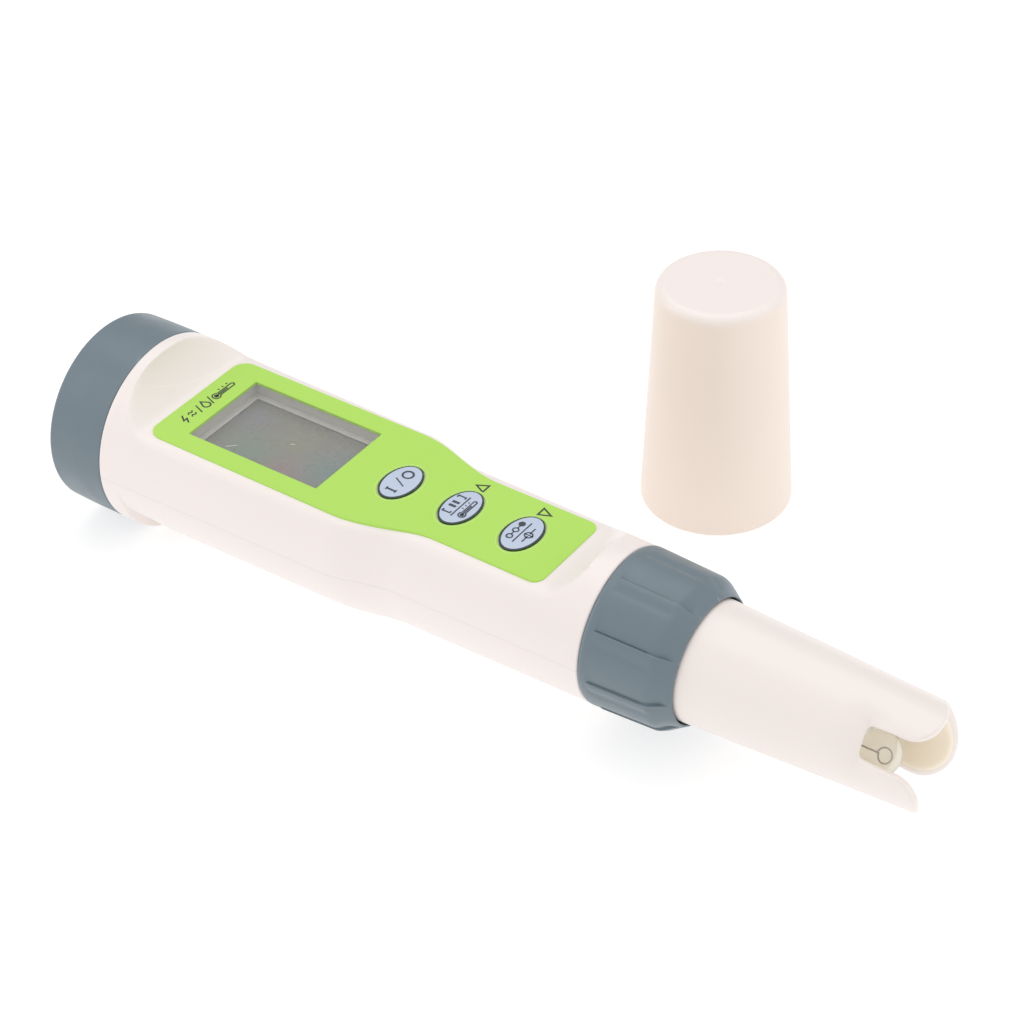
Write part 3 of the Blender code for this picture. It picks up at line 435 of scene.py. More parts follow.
MATERIALS = {
    "casing": surface(
        "casing_plastic", (0.88, 0.805, 0.775), 0.34, drift=0.012, wear=0.25, wear_tone=1.1,
        tint=parting_tint, relief=parting_line, **CALM,
    ),
    "probe": surface(
        "probe_plastic", (0.87, 0.795, 0.755), 0.32, drift=0.015, wear=0.2, wear_tone=1.1, **CALM,
    ),
    "probe_inner": surface(
        "probe_inner_plastic", (0.95, 0.88, 0.79), 0.38, tint=painted_warm_light_inside, **CALM, fixed=PAINTED_GLOW_THROUGH,
    ),
    "carrier": surface("carrier_plastic", (0.90, 0.87, 0.80), 0.4, **CALM, fixed=PAINTED_GLOW_DEEP),
    "cover": surface(
        "cover_plastic", (0.885, 0.765, 0.675), 0.33, drift=0.015, cloud_scale=38.0, wear=0.25,
        wear_tone=1.1, tint=cover_top_painted_light, **CALM,
    ),
    "grey": surface(
        "grey_plastic", (0.155, 0.200, 0.230), 0.38, drift=0.04, grain=0.000012, grain_scale=2200.0,
        wear=0.55, wear_tone=1.9, fixed=SATIN,
    ),
    "label": surface(
        "label_film", (0.432, 0.728, 0.108), 0.46, drift=0.02, grain=0.000008, grain_scale=3200.0,
        wear=0.0,
    ),
    # The bead is a lighter green than the label: a painted highlight along its crest.
    "bead_painted_highlight": surface("label_bead_film", (0.52, 0.79, 0.20), 0.4, grain_scale=3200.0),
    "print": surface("legend_ink", (0.035, 0.045, 0.035), 0.5, tint=print_tint, drift=0.2, wear=0.0),
    "key_face": surface(
        "key_face_film", (0.505, 0.585, 0.72), 0.42, grain=0.000008, grain_scale=3600.0, wear=0.0,
    ),
    "key_edge": surface("key_edge_film", (0.022, 0.035, 0.03), 0.4, wear=0.4, wear_tone=5.0),
    "key_print": surface("key_ink", (0.045, 0.05, 0.075), 0.5, drift=0.2, wear=0.0),
    "bezel": surface("bezel_plastic", (0.54, 0.52, 0.49), 0.4, drift=0.04, wear=0.0),
    "lcd": surface(
        "lcd_polariser", (0.215, 0.205, 0.185), 0.28, tint=lcd_tint, grain=0.0000003, uneven=0.02,
        wear=0.0, fixed={"Coat Weight": 0.2, "Coat Roughness": 0.06},
    ),
    "window": surface(
        "window_film", (0.86, 0.88, 0.88), 0.08, grain=0.0000002, uneven=0.01, wear=0.0,
        fixed={"Alpha": 0.06},
    ),
    "rubber": surface("black_rubber", (0.022, 0.022, 0.022), 0.62, drift=0.15, grain=0.00002, wear=0.2),
    "board": surface("solder_mask", (0.02, 0.16, 0.06), 0.3, tint=board_tint, wear=0.0),
    "black": surface("black_plastic", (0.03, 0.03, 0.032), 0.45, drift=0.1, wear=0.5, wear_tone=3.0),
    "steel": surface(
        "brushed_steel", (0.58, 0.57, 0.55), 0.28, streak=(1.0, 1.0, 9.0), wear=0.3, uneven=0.1,
        fixed={"Metallic": 1.0},
    ),
    "silver": surface("silver_chloride", (0.27, 0.21, 0.15), 0.4, drift=0.25, fixed={"Metallic": 0.7}),
    "brass": surface(
        "spring_brass", (0.72, 0.52, 0.22), 0.3, streak=(1.0, 5.0, 5.0), drift=0.08, uneven=0.1,
        fixed={"Metallic": 1.0},
    ),
    # The bulb also glows faintly: a painted glow that lightens it.
    "glass": surface(
        "bulb_glass", (0.92, 0.93, 0.90), 0.03, tint=bulb_edge_painted_shade, drift=0.01, uneven=0.01, grain=0.0000002,
        wear=0.0, fixed={"Transmission Weight": 0.8, "IOR": 1.36, "Emission Strength": 0.04},
    ),
    "ceramic": surface("porous_ceramic", (0.70, 0.66, 0.58), 0.75, drift=0.12, grain=0.00004, wear=0.2),
    "lint": surface("lint_fibre", (0.85, 0.84, 0.80), 0.7, drift=0.1, wear=0.0),
}


# ---- mesh helpers


def on_pen(points, v=0.0, w=0.0):
    """Pen millimetres to the row frame, moved off the axis by v and w."""
    points = np.asarray(points, float) + (0.0, v, w)
    return points * MM + np.array(AXIS)


def on_cover(points):
    """(height, along, across) over the cap's foot to the row frame."""
    points = np.asarray(points, float)
    return points[..., [1, 2, 0]] * MM + np.array(COVER_FOOT)


def cleaned(mesh):
    """Joins doubled points and turns the faces outward."""
    bm = bmesh.new()
    bm.from_mesh(mesh)
    bmesh.ops.remove_doubles(bm, verts=bm.verts, dist=SAME_POINT)
    bmesh.ops.recalc_face_normals(bm, faces=bm.faces)
    bm.to_mesh(mesh)
    bm.free()


def shown(name, data):
    obj = bpy.data.objects.new(name, data)
    bpy.context.scene.collection.objects.link(obj)
    return obj


def piece(name, points, faces, body, materials, nodes=(), marks=None, sharp=38.0):
    """A closed mesh that rides on a body. The marks say which of its materials each face has."""
    mesh = bpy.data.meshes.new(name)
    mesh.from_pydata(np.asarray(points).reshape(-1, 3).tolist(), [], faces)
    for key in materials:
        mesh.materials.append(MATERIALS[key])
    if marks is not None:
        mesh.polygons.foreach_set("material_index", marks)
    cleaned(mesh)
    smoothed(mesh, sharp)
    return joined_in(shown(name, mesh), body, nodes)


def joined_in(obj, body, nodes=()):
    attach(obj, body)
    if nodes:
        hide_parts(*nodes)
    return obj


def smoothed(mesh, sharp):
    mesh.polygons.foreach_set("use_smooth", [True] * len(mesh.polygons))
    mesh.set_sharp_from_angle(angle=math.radians(sharp))
    mesh.update()


def grid(rows, columns, loop_rows, first=0):
    """Faces between rings of points. A loop joins the last ring to the first, else the ends are capped."""
    faces = []
    for i in range(rows if loop_rows else rows - 1):
        here = first + i * columns
        there = first + (i + 1) % rows * columns
        for k in range(columns):
            after = (k + 1) % columns
            faces.append((here + k, here + after, there + after, there + k))
    if not loop_rows:
        faces.append(tuple(range(first, first + columns)))
        faces.append(tuple(range(first + (rows - 1) * columns, first + rows * columns)))
    return faces


def corner_arc(before, corner, after, radius, steps=6):
    a, b, c = (Vector(point) for point in (before, corner, after))
    to_a = (a - b).normalized()
    to_c = (c - b).normalized()
    half = to_a.angle(to_c) / 2
    start = b + to_a * (radius / math.tan(half))
    end = b + to_c * (radius / math.tan(half))
    middle = b + (to_a + to_c).normalized() * (radius / math.sin(half))
    spokes = [(start - middle).lerp(end - middle, i / steps).normalized() for i in range(steps + 1)]
    return [tuple(middle + spoke * radius) for spoke in spokes]


def rounded(path, closed=False, steps=6):
    """A path whose corners with a radius are rounded. Each item is (a, b) or (a, b, radius)."""
    points = []
    count = len(path)
    for i, item in enumerate(path):
        inner = closed or 0 < i < count - 1
        if len(item) == 2 or not inner:
            points.append(item[:2])
            continue
        points.extend(corner_arc(path[i - 1][:2], item[:2], path[(i + 1) % count][:2], item[2], steps))
    return points


def divided(points, step, closed=False):
    """The same path with points added so that none are further apart than the step."""
    found = []
    ends = points[1:] + points[:1] if closed else points[1:]
    for a, b in zip(points, ends):
        (x, y), (across, up) = a, (b[0] - a[0], b[1] - a[1])
        count = max(1, math.ceil(math.dist(a, b) / step))
        found += [(x + across * i / count, y + up * i / count) for i in range(count)]
    return found if closed else found + [points[-1]]


def around(u, radius, angle):
    """Points at a station, a radius and an angle round the axis."""
    return np.stack(np.broadcast_arrays(u, radius * np.cos(angle), radius * np.sin(angle)), axis=-1)


def turned_points(profile, segments, relief=None):
    """Rings of a profile of (u, radius). The relief moves each point by its u, radius and angle."""
    profile = np.array(profile, float)
    # The rings start a fifth of a step round, so that no two points of a ring mirror each other.
    theta = np.radians((np.arange(segments) + 0.2) * 360 / segments)
    u, radius, angle = np.broadcast_arrays(profile[:, :1], profile[:, 1:], theta)
    if relief is not None:
        u, radius = relief(u, radius, angle)
    return around(u, radius, angle)


def turned(name, path, segments, body, slot, material, nodes=(), **options):
    """A lathe shape. Options: step, relief, v and w (off the axis), place, sharp, steps."""
    ring = path[0][1] > 0
    profile = divided(rounded(path, ring, options.get("steps", 6)), options.get("step", 1.0), ring)
    points = turned_points(profile, segments, options.get("relief"))
    if "place" in options:
        placed = options["place"](points)
    else:
        placed = on_pen(points, options.get("v", 0.0), options.get("w", 0.0))
    faces = grid(len(profile), segments, ring)
    return piece(name, placed, faces, body, [material], nodes, sharp=options.get("sharp", 38.0))


def smooth(value, start, end):
    t = np.clip((np.asarray(value, float) - start) / (end - start), 0.0, 1.0)
    return t * t * (3 - 2 * t)


def soft_min(a, b, width):
    h = np.clip(0.5 + 0.5 * (b - a) / width, 0.0, 1.0)
    return b + (a - b) * h - width * h * (1 - h)


def thread(u, angle, span):
    """Height, from 0 to 1, of a helical thread over a span, with its ends run out."""
    turn = np.mod((u - span[0]) / THREAD_PITCH - angle / (2 * math.pi), 1.0)
    ridge = np.clip((0.5 - np.abs(turn - 0.5)) * 5 - 0.9, 0.0, 1.0)
    ends = np.clip((u - span[0]) / 0.8, 0, 1) * np.clip((span[1] - u) / 0.8, 0, 1)
    return ridge * ends


# ---- casing


def side_radius(u):
    wide = np.interp(u, (SHOULDER_REAR_U, WAIST_U[0]), (RIM_RADIUS, WIDE_RADIUS))
    slim = np.interp(u, (WAIST_U[1], SHOULDER_FRONT_U), (GRIP_RADIUS, NECK_END_RADIUS))
    return wide + (slim - wide) * smooth(u, *WAIST_U)


def back_depth(u):
    at = (RIM_END_U + 0.5, STRAP_END_U, STRAP_END_U + 4, WAIST_U[0], SHOULDER_FRONT_U)
    depth = (STRAP_FLOOR_DEPTH, STRAP_FLOOR_DEPTH, BACK_DEPTH_WIDE, BACK_DEPTH_WAIST, NECK_END_RADIUS)
    straight = np.interp(u, at, depth)
    drop = smooth(u, RIM_END_U, RIM_END_U + 0.5)
    return side_radius(u) * (1 - drop) + straight * drop


def ramp(t):
    return 1 - (1 - np.clip(t, 0.0, 1.0) ** RAMP_POWER) ** (1 / RAMP_POWER)


def flat_height(u):
    """The label's flat, with the thumb scoop behind it and the step up to the neck in front."""
    behind = (FLAT_U[0] - u) / SCOOP_LENGTH
    ahead = (u - FLAT_U[1]) / STEP_LENGTH
    over = np.maximum(behind - 1, 0) * 30 + np.maximum(ahead - 1, 0) * 30
    return FLAT_HEIGHT + SCOOP_RISE * ramp(behind) + STEP_RISE * ramp(ahead) + over


def casing_radius(u, angle):
    side = side_radius(u)
    sine = np.sin(angle)
    depth = np.where(sine < 0, back_depth(u), side)
    body = 1 / np.sqrt((np.cos(angle) / side) ** 2 + (sine / depth) ** 2)
    plane = flat_height(u) / np.maximum(sine, 0.05)
    softness = np.interp(u, *zip(*EDGE_SOFTNESS))
    return np.where(sine > 0.05, soft_min(body, plane, softness), body)


def spaced(start, end, step):
    return list(np.linspace(start, end, max(2, round(abs(end - start) / step) + 1)))


def ramp_stations(start, length):
    """Stations that crowd together where a ramp is steep."""
    return [start + length * math.sin(math.pi / 2 * i / 60) for i in range(61)]


def build_casing():
    angles = np.radians(np.concatenate([np.arange(20, 160, 0.7), np.arange(160, 380, 2.2)]))
    rows = []

    def add(u, radius):
        rows.append(around(u, radius, angles))

    def add_neck(stations, radius, span):
        u = np.array(stations)[:, None]
        add(u, radius + THREAD_HEIGHT * thread(u, angles, span))

    def add_circles(*path):
        path = np.array(path)
        add(path[:, :1], path[:, 1:])

    def add_edge(end, inward, turns):
        """A shoulder's rounded edge, which runs inward from its end face."""
        for turn in np.radians(turns):
            u = np.array([[end + inward * (1 - math.cos(turn))]])
            add(u, casing_radius(u, angles) - abs(inward) * (1 - math.sin(turn)))

    outer = spaced(STRAP_END_U, FLAT_U[0], 0.3) + spaced(RIM_END_U, STRAP_END_U, 0.12)
    outer += ramp_stations(FLAT_U[0], -SCOOP_LENGTH) + ramp_stations(FLAT_U[1], STEP_LENGTH)
    outer += spaced(SHOULDER_REAR_U + REAR_EDGE, RIM_END_U, 0.4) + spaced(FLAT_U[0], WAIST_U[0], 1.2)
    outer += spaced(*WAIST_U, 0.5) + spaced(WAIST_U[1], FLAT_U[1], 1.2)
    outer += spaced(FLAT_U[1] + STEP_LENGTH, SHOULDER_FRONT_U - FRONT_EDGE, 0.7)
    outer = np.array(sorted({round(float(u), 3) for u in outer}))[:, None]
    groove_rear, groove_front = SEAL_GROOVE_U
    add_neck(spaced(REAR_NECK_END_U + 0.4, groove_rear - 0.2, 0.16), REAR_NECK_RADIUS, REAR_THREAD_U)
    add_circles(
        (groove_rear, REAR_NECK_RADIUS), (groove_rear, SEAL_GROOVE_RADIUS),
        (groove_front, SEAL_GROOVE_RADIUS), (groove_front, REAR_NECK_RADIUS),
        (SHOULDER_REAR_U, REAR_NECK_RADIUS), (SHOULDER_REAR_U, 17.0), (SHOULDER_REAR_U, 18.3),
    )
    add_edge(SHOULDER_REAR_U, REAR_EDGE, (10, 30, 50, 70))
    add(outer, casing_radius(outer, angles))
    add_edge(SHOULDER_FRONT_U, -FRONT_EDGE, (70, 50, 30, 10))
    add_circles((SHOULDER_FRONT_U, 14.0), (SHOULDER_FRONT_U, FRONT_NECK_RADIUS))
    front_neck = spaced(SHOULDER_FRONT_U + 0.3, FRONT_NECK_END_U - 0.4, 0.16)
    add_neck(front_neck, FRONT_NECK_RADIUS, FRONT_THREAD_U)
    add_circles(
        (FRONT_NECK_END_U, FRONT_NECK_RADIUS - 0.4), (FRONT_NECK_END_U, FRONT_BORE),
        (HOLLOW_U[1], FRONT_BORE),
    )
    inner = np.array(spaced(HOLLOW_U[1], HOLLOW_U[0], 2.0))[:, None]
    add(inner, np.minimum(casing_radius(inner, angles), HOLLOW_LIMIT) - WALL)
    add_circles(
        (HOLLOW_U[0], REAR_BORE), (REAR_NECK_END_U, REAR_BORE),
        (REAR_NECK_END_U, REAR_NECK_RADIUS - 0.4),
    )
    points = np.concatenate(rows)
    faces = grid(len(points), len(angles), True)
    casing = piece(
        "casing_shell", on_pen(points), faces, "pen", ["casing"], ["casing"], sharp=60.0
    )
    open_casing(casing)
    build_strap_rib()


def open_casing(casing):
    """Cuts the display's pocket and the three key holes through the top wall."""
    outlines = [rectangle((WELL_U[0] - POCKET_MARGIN, WELL_U[1] + POCKET_MARGIN), POCKET_HALF)]
    outlines += [oval(*KEY_CUT, 32, key_u(i)) for i in range(3)]
    points = []
    faces = []
    for outline in outlines:
        faces += grid(2, len(outline), False, len(points))
        points += [(a, b, level) for level in CUT_W for a, b in outline]
    mesh = bpy.data.meshes.new("casing_openings")
    mesh.from_pydata(on_pen(points).tolist(), [], faces)
    cleaned(mesh)
    cutter = shown("casing_openings", mesh)
    modifier = casing.modifiers.new("openings", "BOOLEAN")
    modifier.operation = "DIFFERENCE"
    modifier.solver = "EXACT"
    modifier.object = cutter
    apply_modifiers(casing)
    bpy.data.objects.remove(cutter)


def apply_modifiers(obj):
    """Swaps the object's mesh for the one its modifiers make."""
    bpy.context.view_layer.update()
    graph = bpy.context.evaluated_depsgraph_get()
    mesh = bpy.data.meshes.new_from_object(obj.evaluated_get(graph))
    obj.modifiers.clear()
    obj.data = mesh
    smoothed(mesh, 60.0)


def build_strap_rib():
    """The thin wall on the back that the wrist strap's bar is held in."""
    outline = []
    for i in range(25):
        v = RIB_HALF * (1 - i / 12)
        outline.append((v, -math.sqrt(RIB_RADIUS**2 - v**2)))
    outline += [(-RIB_TOP_HALF, RIB_TOP_W), (RIB_TOP_HALF, RIB_TOP_W)]
    points = [(u, v, min(w, RIB_TOP_W)) for u in RIB_U for v, w in outline]
    faces = grid(2, len(outline), False)
    rib = piece("strap_rib", on_pen(points), faces, "pen", ["casing"])
    modifier = rib.modifiers.new("soft_edges", "BEVEL")
    modifier.width = 0.28 * MM
    modifier.segments = 3
    modifier.limit_method = "ANGLE"
    modifier.angle_limit = math.radians(40)
    apply_modifiers(rib)


# ---- battery end


def build_battery_cap():
    def relief(u, radius, angle):
        """Thread in the bore, a shallow dish in the rear face and the gate mark at its centre."""
        inside = (radius < CAP_BORE + 0.01) & (radius > CAP_BORE - 0.01) & (u > CAP_INNER_FACE_U + 0.5)
        cut = THREAD_HEIGHT * 0.75 * thread(u, angle, CAP_THREAD_U)
        rear = u < REAR_FACE_U + 0.01
        dish = 0.35 * (1 - smooth(radius, *CAP_RING_RADIUS)) * rear
        gate = 0.25 * (1 - smooth(radius, 0.5, 0.9)) * rear
        return u + dish - gate, np.where(inside, radius - cut, radius)

    path = [
        (REAR_FACE_U, 0),
        (REAR_FACE_U, CAP_REAR_RADIUS, CAP_EDGE),
        (CAP_FULL_U, CAP_RADIUS),
        (CAP_FRONT_U, CAP_RADIUS, 0.35),
        (CAP_FRONT_U, CAP_BORE, 0.3),
        (CAP_INNER_FACE_U, CAP_BORE, 1.0),
        (CAP_INNER_FACE_U, 0),
    ]
    turned(
        "battery_cap_cup", path, 180, "battery_cap", "cap_grey", "grey", ["battery_cap"],
        step=0.22, relief=relief,
    )


def build_cells():
    """Four button cells, each with its crimped can, seal and contact face."""
    for i in range(4):
        low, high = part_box(f"button_cell_{i + 1}")
        start = (low.x - AXIS.x) / MM
        end = (high.x - AXIS.x) / MM
        path = [
            (start, 0),
            (start, 4.6),
            (start + 0.12, 4.9),
            (start + 0.12, 5.4, 0.1),
            (start + 0.35, 5.8, 0.2),
            (end - 0.9, 5.8, 0.25),
            (end - 0.75, 5.1, 0.1),
            (end - 0.85, 4.95),
            (end - 0.2, 4.9, 0.15),
            (end, 4.6, 0.1),
            (end, 0),
        ]
        name = f"cell_{i + 1}"
        turned(name, path, 64, "battery_pack", "steel", "steel", [f"button_cell_{i + 1}"], steps=3)


# ---- label, display and keys


def key_u(i):
    return KEY_FIRST_U + i * KEY_PITCH


def oval(half_a, half_b, count=64, shift=0.0):
    angles = [2 * math.pi * i / count for i in range(count)]
    return [(shift + half_a * math.cos(t), half_b * math.sin(t)) for t in angles]


def label_half(u):
    return LABEL_WIDE_HALF + (LABEL_NARROW_HALF - LABEL_WIDE_HALF) * float(smooth(u, *LABEL_WAIST_U))


def label_outline():
    start, end = LABEL_U
    side = [(u, label_half(u)) for u in np.linspace(*LABEL_WAIST_U, 25)]
    rear, front = LABEL_CORNER
    path = [(start, -LABEL_WIDE_HALF, rear)]
    path += [(u, -half) for u, half in side]
    path += [(end, -LABEL_NARROW_HALF, front), (end, LABEL_NARROW_HALF, front)]
    path += [(u, half) for u, half in reversed(side)]
    path += [(start, LABEL_WIDE_HALF, rear)]
    return rounded(path, closed=True, steps=10)


def flat_sheet(name, outlines, levels, edge, material, nodes=()):
    """A flat sheet on the pen, with holes and softly rounded edges, from closed outlines."""
    low, high = levels
    curve = bpy.data.curves.new(name, "CURVE")
    curve.dimensions = "2D"
    curve.fill_mode = "BOTH"
    for outline in outlines:
        spline = curve.splines.new("POLY")
        spline.points.add(len(outline) - 1)
        for point, (a, b) in zip(spline.points, outline):
            point.co = (a * MM, b * MM, 0, 1)
        spline.use_cyclic_u = True
    curve.extrude = ((high - low) / 2 - edge) * MM
    curve.bevel_depth = edge * MM
    curve.bevel_resolution = 2
    curve.offset = -edge * MM
    source = shown(name + "_outline", curve)
    bpy.context.view_layer.update()
    graph = bpy.context.evaluated_depsgraph_get()
    mesh = bpy.data.meshes.new_from_object(source.evaluated_get(graph))
    bpy.data.objects.remove(source)
    mesh.transform(Matrix.Translation(AXIS + Vector((0, 0, (low + high) / 2 * MM))))
    mesh.materials.clear()
    mesh.materials.append(MATERIALS[material])
    cleaned(mesh)
    smoothed(mesh, 30.0)
    # The level faces keep their own normal, so that their rounded edges don't shade them.
    mesh.polygons.foreach_set("use_smooth", [abs(face.normal.z) < 0.999 for face in mesh.polygons])
    mesh.name = name
    return joined_in(shown(name, mesh), "pen", nodes)


def rectangle(span, half, corner=0.0):
    corners = [(span[0], -half), (span[1], -half), (span[1], half), (span[0], half)]
    if not corner:
        return corners
    return rounded([(*point, corner) for point in corners], closed=True)


def build_label():
    outlines = [label_outline(), rectangle(WINDOW_U, WINDOW_HALF, 0.25)]
    outlines += [oval(*KEY_HOLE, OVAL_POINTS, key_u(i)) for i in range(3)]
    flat_sheet("label_film", outlines, LABEL_W, 0.08, "label", ["keypad_label"])
    # A fine embossed bead runs round each key; its lighter green is a painted highlight.
    points = []
    faces = []
    for i in range(3):
        faces += grid(8, OVAL_POINTS, True, len(points))
        for k in range(8):
            t = 2 * math.pi * k / 8
            out = 0.42 + 0.13 * math.cos(t)
            level = LABEL_W[1] - 0.01 + 0.06 * math.sin(t)
            outline = oval(KEY_HOLE[0] + out, KEY_HOLE[1] + out, OVAL_POINTS, key_u(i))
            points += [(a, b, level) for a, b in outline]
    piece("key_beads", on_pen(points), faces, "pen", ["bead_painted_highlight"], sharp=80.0)


def build_display():
    pane = [rectangle(WINDOW_PANE_U, WINDOW_PANE_HALF, 0.25)]
    flat_sheet("window_pane", pane, WINDOW_W, 0.05, "window", ["display_window"])
    outlines = [rectangle(BEZEL_U, BEZEL_HALF, 0.5), rectangle(WELL_U, WELL_HALF, 0.3)]
    flat_sheet("display_frame", outlines, BEZEL_W, 0.06, "bezel", ["display_bezel"])
    # The inner lip holds the display down.
    outlines = []
    for inset, corner in ((-LIP_OVERLAP, 0.3), (LIP_WIDTH, 0.2)):
        outlines.append(rectangle((WELL_U[0] + inset, WELL_U[1] - inset), WELL_HALF - inset, corner))
    flat_sheet("display_lip", outlines, LIP_W, 0.12, "bezel")
    cell = [rectangle(LCD_U, LCD_HALF, 0.3)]
    flat_sheet("lcd_cell", cell, LCD_W, 0.08, "lcd", ["lcd_glass"])


def build_keys():
    names = ("power_key", "hold_key", "mode_key")
    nodes = ("key_power", "key_hold", "key_mode")
    wide, long = KEY_PAD
    for i in range(3):
        name = names[i]
        # Each layer is (half length along the pen, half length across, level, shift along the pen).
        layers = [(wide, long, 9.2, 0.0)]
        for t in np.radians((0, 18, 36, 54, 72)):
            inset = 0.12 * (1 - math.cos(t))
            layers.append((wide - inset, long - inset, KEY_TOP_W - 0.2 + 0.12 * math.sin(t), 0.0))
        edge_faces = len(layers) * OVAL_POINTS
        layers.append((*KEY_FACE, KEY_TOP_W - 0.06, KEY_FACE_SHIFT))
        for part in (0.97, 0.9, 0.75, 0.55, 0.3, 0.1):
            level = KEY_TOP_W - 0.055 + 0.1 * (1 - part**2)
            layers.append((KEY_FACE[0] * part, KEY_FACE[1] * part, level, KEY_FACE_SHIFT * part))
        points = []
        for half_a, half_b, level, shift in layers:
            points += [(a + key_u(i), b, level) for a, b in oval(half_a, half_b, OVAL_POINTS, shift)]
        faces = grid(len(layers), OVAL_POINTS, False)
        marks = [int(k >= edge_faces) for k in range(len(faces) - 2)] + [0, 1]
        materials = ["key_edge", "key_face"]
        piece(
            f"{name}_pad", on_pen(points), faces, name, materials, [nodes[i]], marks, 50.0
        )
        levels = (KEY_TOP_W - 0.08, KEY_TOP_W + 0.055)
        ink(f"{name}_mark", KEY_MARKS[i], key_u(i), levels, name, "key_print")


# Marks are strokes in millimetres as they read: across to the right, then up.
# Each stroke is (points, width, closed).


def ring_stroke(across, up, radius, width, part=(0, 360)):
    angles = np.radians(np.linspace(*part, 28))
    points = [(across + radius * math.cos(t), up + radius * math.sin(t)) for t in angles]
    whole = part[1] - part[0] >= 360
    return (points[:-1] if whole else points), width, whole


def stroke(*points, width):
    return list(points), width, False


def thermometer(across, up, length, size=1.0):
    """A thermometer on its side: a bulb, a tube and three marks over it."""
    bulb = across - length / 2 + 0.75 * size
    end = across + length / 2 - 0.35 * size
    half = 0.36 * size
    neck = bulb + 0.62 * size
    tube = [(neck, up + half), (end, up + half), (end + 0.3 * size, up)]
    tube += [(end, up - half), (neck, up - half)]
    strokes = [(tube, 0.22 * size, False), ring_stroke(bulb, up, 0.72 * size, 0.22 * size, (32, 328))]
    strokes.append(ring_stroke(bulb, up, 0.2 * size, 0.4 * size))
    strokes.append(stroke((bulb, up), (end - 1.3 * size, up), width=0.26 * size))
    for i in range(3):
        at = bulb + (1.6 + 1.0 * i) * size
        strokes.append(stroke((at, up + 0.75 * size), (at, up + 1.1 * size), width=0.22 * size))
    return strokes


POWER_MARK = [
    stroke((-2.9, -1.0), (-2.9, 1.0), width=0.34),
    stroke((-3.3, 1.0), (-2.5, 1.0), width=0.2),
    stroke((-3.3, -1.0), (-2.5, -1.0), width=0.2),
    stroke((-1.0, -1.25), (0.35, 1.3), width=0.24),
    ring_stroke(2.2, 0.0, 1.02, 0.34),
]
HOLD_MARK = [
    stroke((-3.0, 0.0), (3.0, 0.0), width=0.24),
    stroke((-2.0, 0.6), (-2.5, 0.6), (-2.5, 2.2), (-2.0, 2.2), width=0.24),
    stroke((-0.55, 0.65), (-0.55, 2.15), width=0.5),
    stroke((0.55, 0.65), (0.55, 2.15), width=0.5),
    stroke((2.0, 0.6), (2.5, 0.6), (2.5, 2.2), (2.0, 2.2), width=0.24),
    *thermometer(0.1, -1.55, 5.2, 0.95),
]
MODE_MARK = [
    stroke((-3.0, 0.0), (3.0, 0.0), width=0.24),
    ring_stroke(-1.95, 1.35, 0.55, 0.24),
    ring_stroke(0.0, 1.35, 0.55, 0.24),
    ring_stroke(1.95, 1.35, 0.2, 0.42),
    ring_stroke(1.95, 1.35, 0.55, 0.2),
    stroke((-1.4, 1.35), (-0.55, 1.35), width=0.22),
    stroke((0.55, 1.35), (1.4, 1.35), width=0.22),
    ring_stroke(0.0, -1.4, 0.72, 0.24),
    stroke((0.0, -0.45), (0.0, -2.35), width=0.2),
    stroke((-2.1, -1.4), (-0.35, -1.4), width=0.22),
    stroke((0.35, -1.4), (2.1, -1.4), width=0.22),
]
KEY_MARKS = (POWER_MARK, HOLD_MARK, MODE_MARK)
DROP = [(0.0, 1.2), (0.42, 0.45), (0.74, -0.12), (0.78, -0.55), (0.5, -0.98), (0.0, -1.15)]
LEGEND_MARKS = [
    stroke((-6.3, 1.2), (-7.3, -0.15), (-6.4, -0.1), (-7.2, -1.25), width=0.28),
    stroke((-5.4, 0.35), (-4.95, 0.75), (-4.45, 0.35), (-3.95, 0.75), width=0.24),
    stroke((-5.4, -0.6), (-4.95, -0.2), (-4.45, -0.6), (-3.95, -0.2), width=0.24),
    stroke((-3.3, -1.2), (-2.4, 1.2), width=0.24),
    ([(x - 1.05, y) for x, y in DROP] + [(-1.05 - x, y) for x, y in DROP[-2:0:-1]], 0.28, True),
    stroke((0.05, -1.2), (0.95, 1.2), width=0.24),
    *thermometer(4.2, -0.15, 6.0, 1.15),
]
TRIANGLES = [
    ([(8.8, 5.85), (8.8, 7.98), (6.71, 6.9)], 0.3, True),
    ([(20.7, 5.99), (20.7, 8.04), (22.94, 6.94)], 0.3, True),
]


def stroke_sides(points, width, closed):
    """Both sides of a stroke of even width, with mitred joints."""
    path = [Vector(point) for point in points]
    count = len(path)
    left, right = [], []
    for i, point in enumerate(path):
        before = path[i - 1] if closed or i else None
        after = path[(i + 1) % count] if closed or i < count - 1 else None
        ways = [(b - a).normalized() for a, b in ((before, point), (point, after)) if a and b]
        normals = [Vector((-way.y, way.x)) for way in ways]
        across = sum(normals, Vector((0, 0))).normalized()
        reach = width / 2 / max(across.dot(normals[0]), 0.35)
        left.append(point + across * reach)
        right.append(point - across * reach)
    return left, right


def ink(name, strokes, u, levels, body, material, reading=True):
    """Printed strokes, a thin layer of ink each. Those that read have their top to the rear."""
    points = []
    faces = []
    for path, width, closed in strokes:
        left, right = stroke_sides(path, width * INK_SPREAD, closed)
        first = len(points)
        for a, b in zip(left, right):
            for side, level in ((a, levels[0]), (b, levels[0]), (b, levels[1]), (a, levels[1])):
                points.append((u - side.y, side.x, level) if reading else (side.x, side.y, level))
        faces += grid(len(left), 4, closed, first)
    return piece(name, on_pen(points), faces, body, [material], sharp=30.0)


def build_print():
    ink("legend_print", LEGEND_MARKS, LEGEND_U, PRINT_W, "pen", "print")
    ink("arrow_print", TRIANGLES, 0.0, PRINT_W, "pen", "print", reading=False)


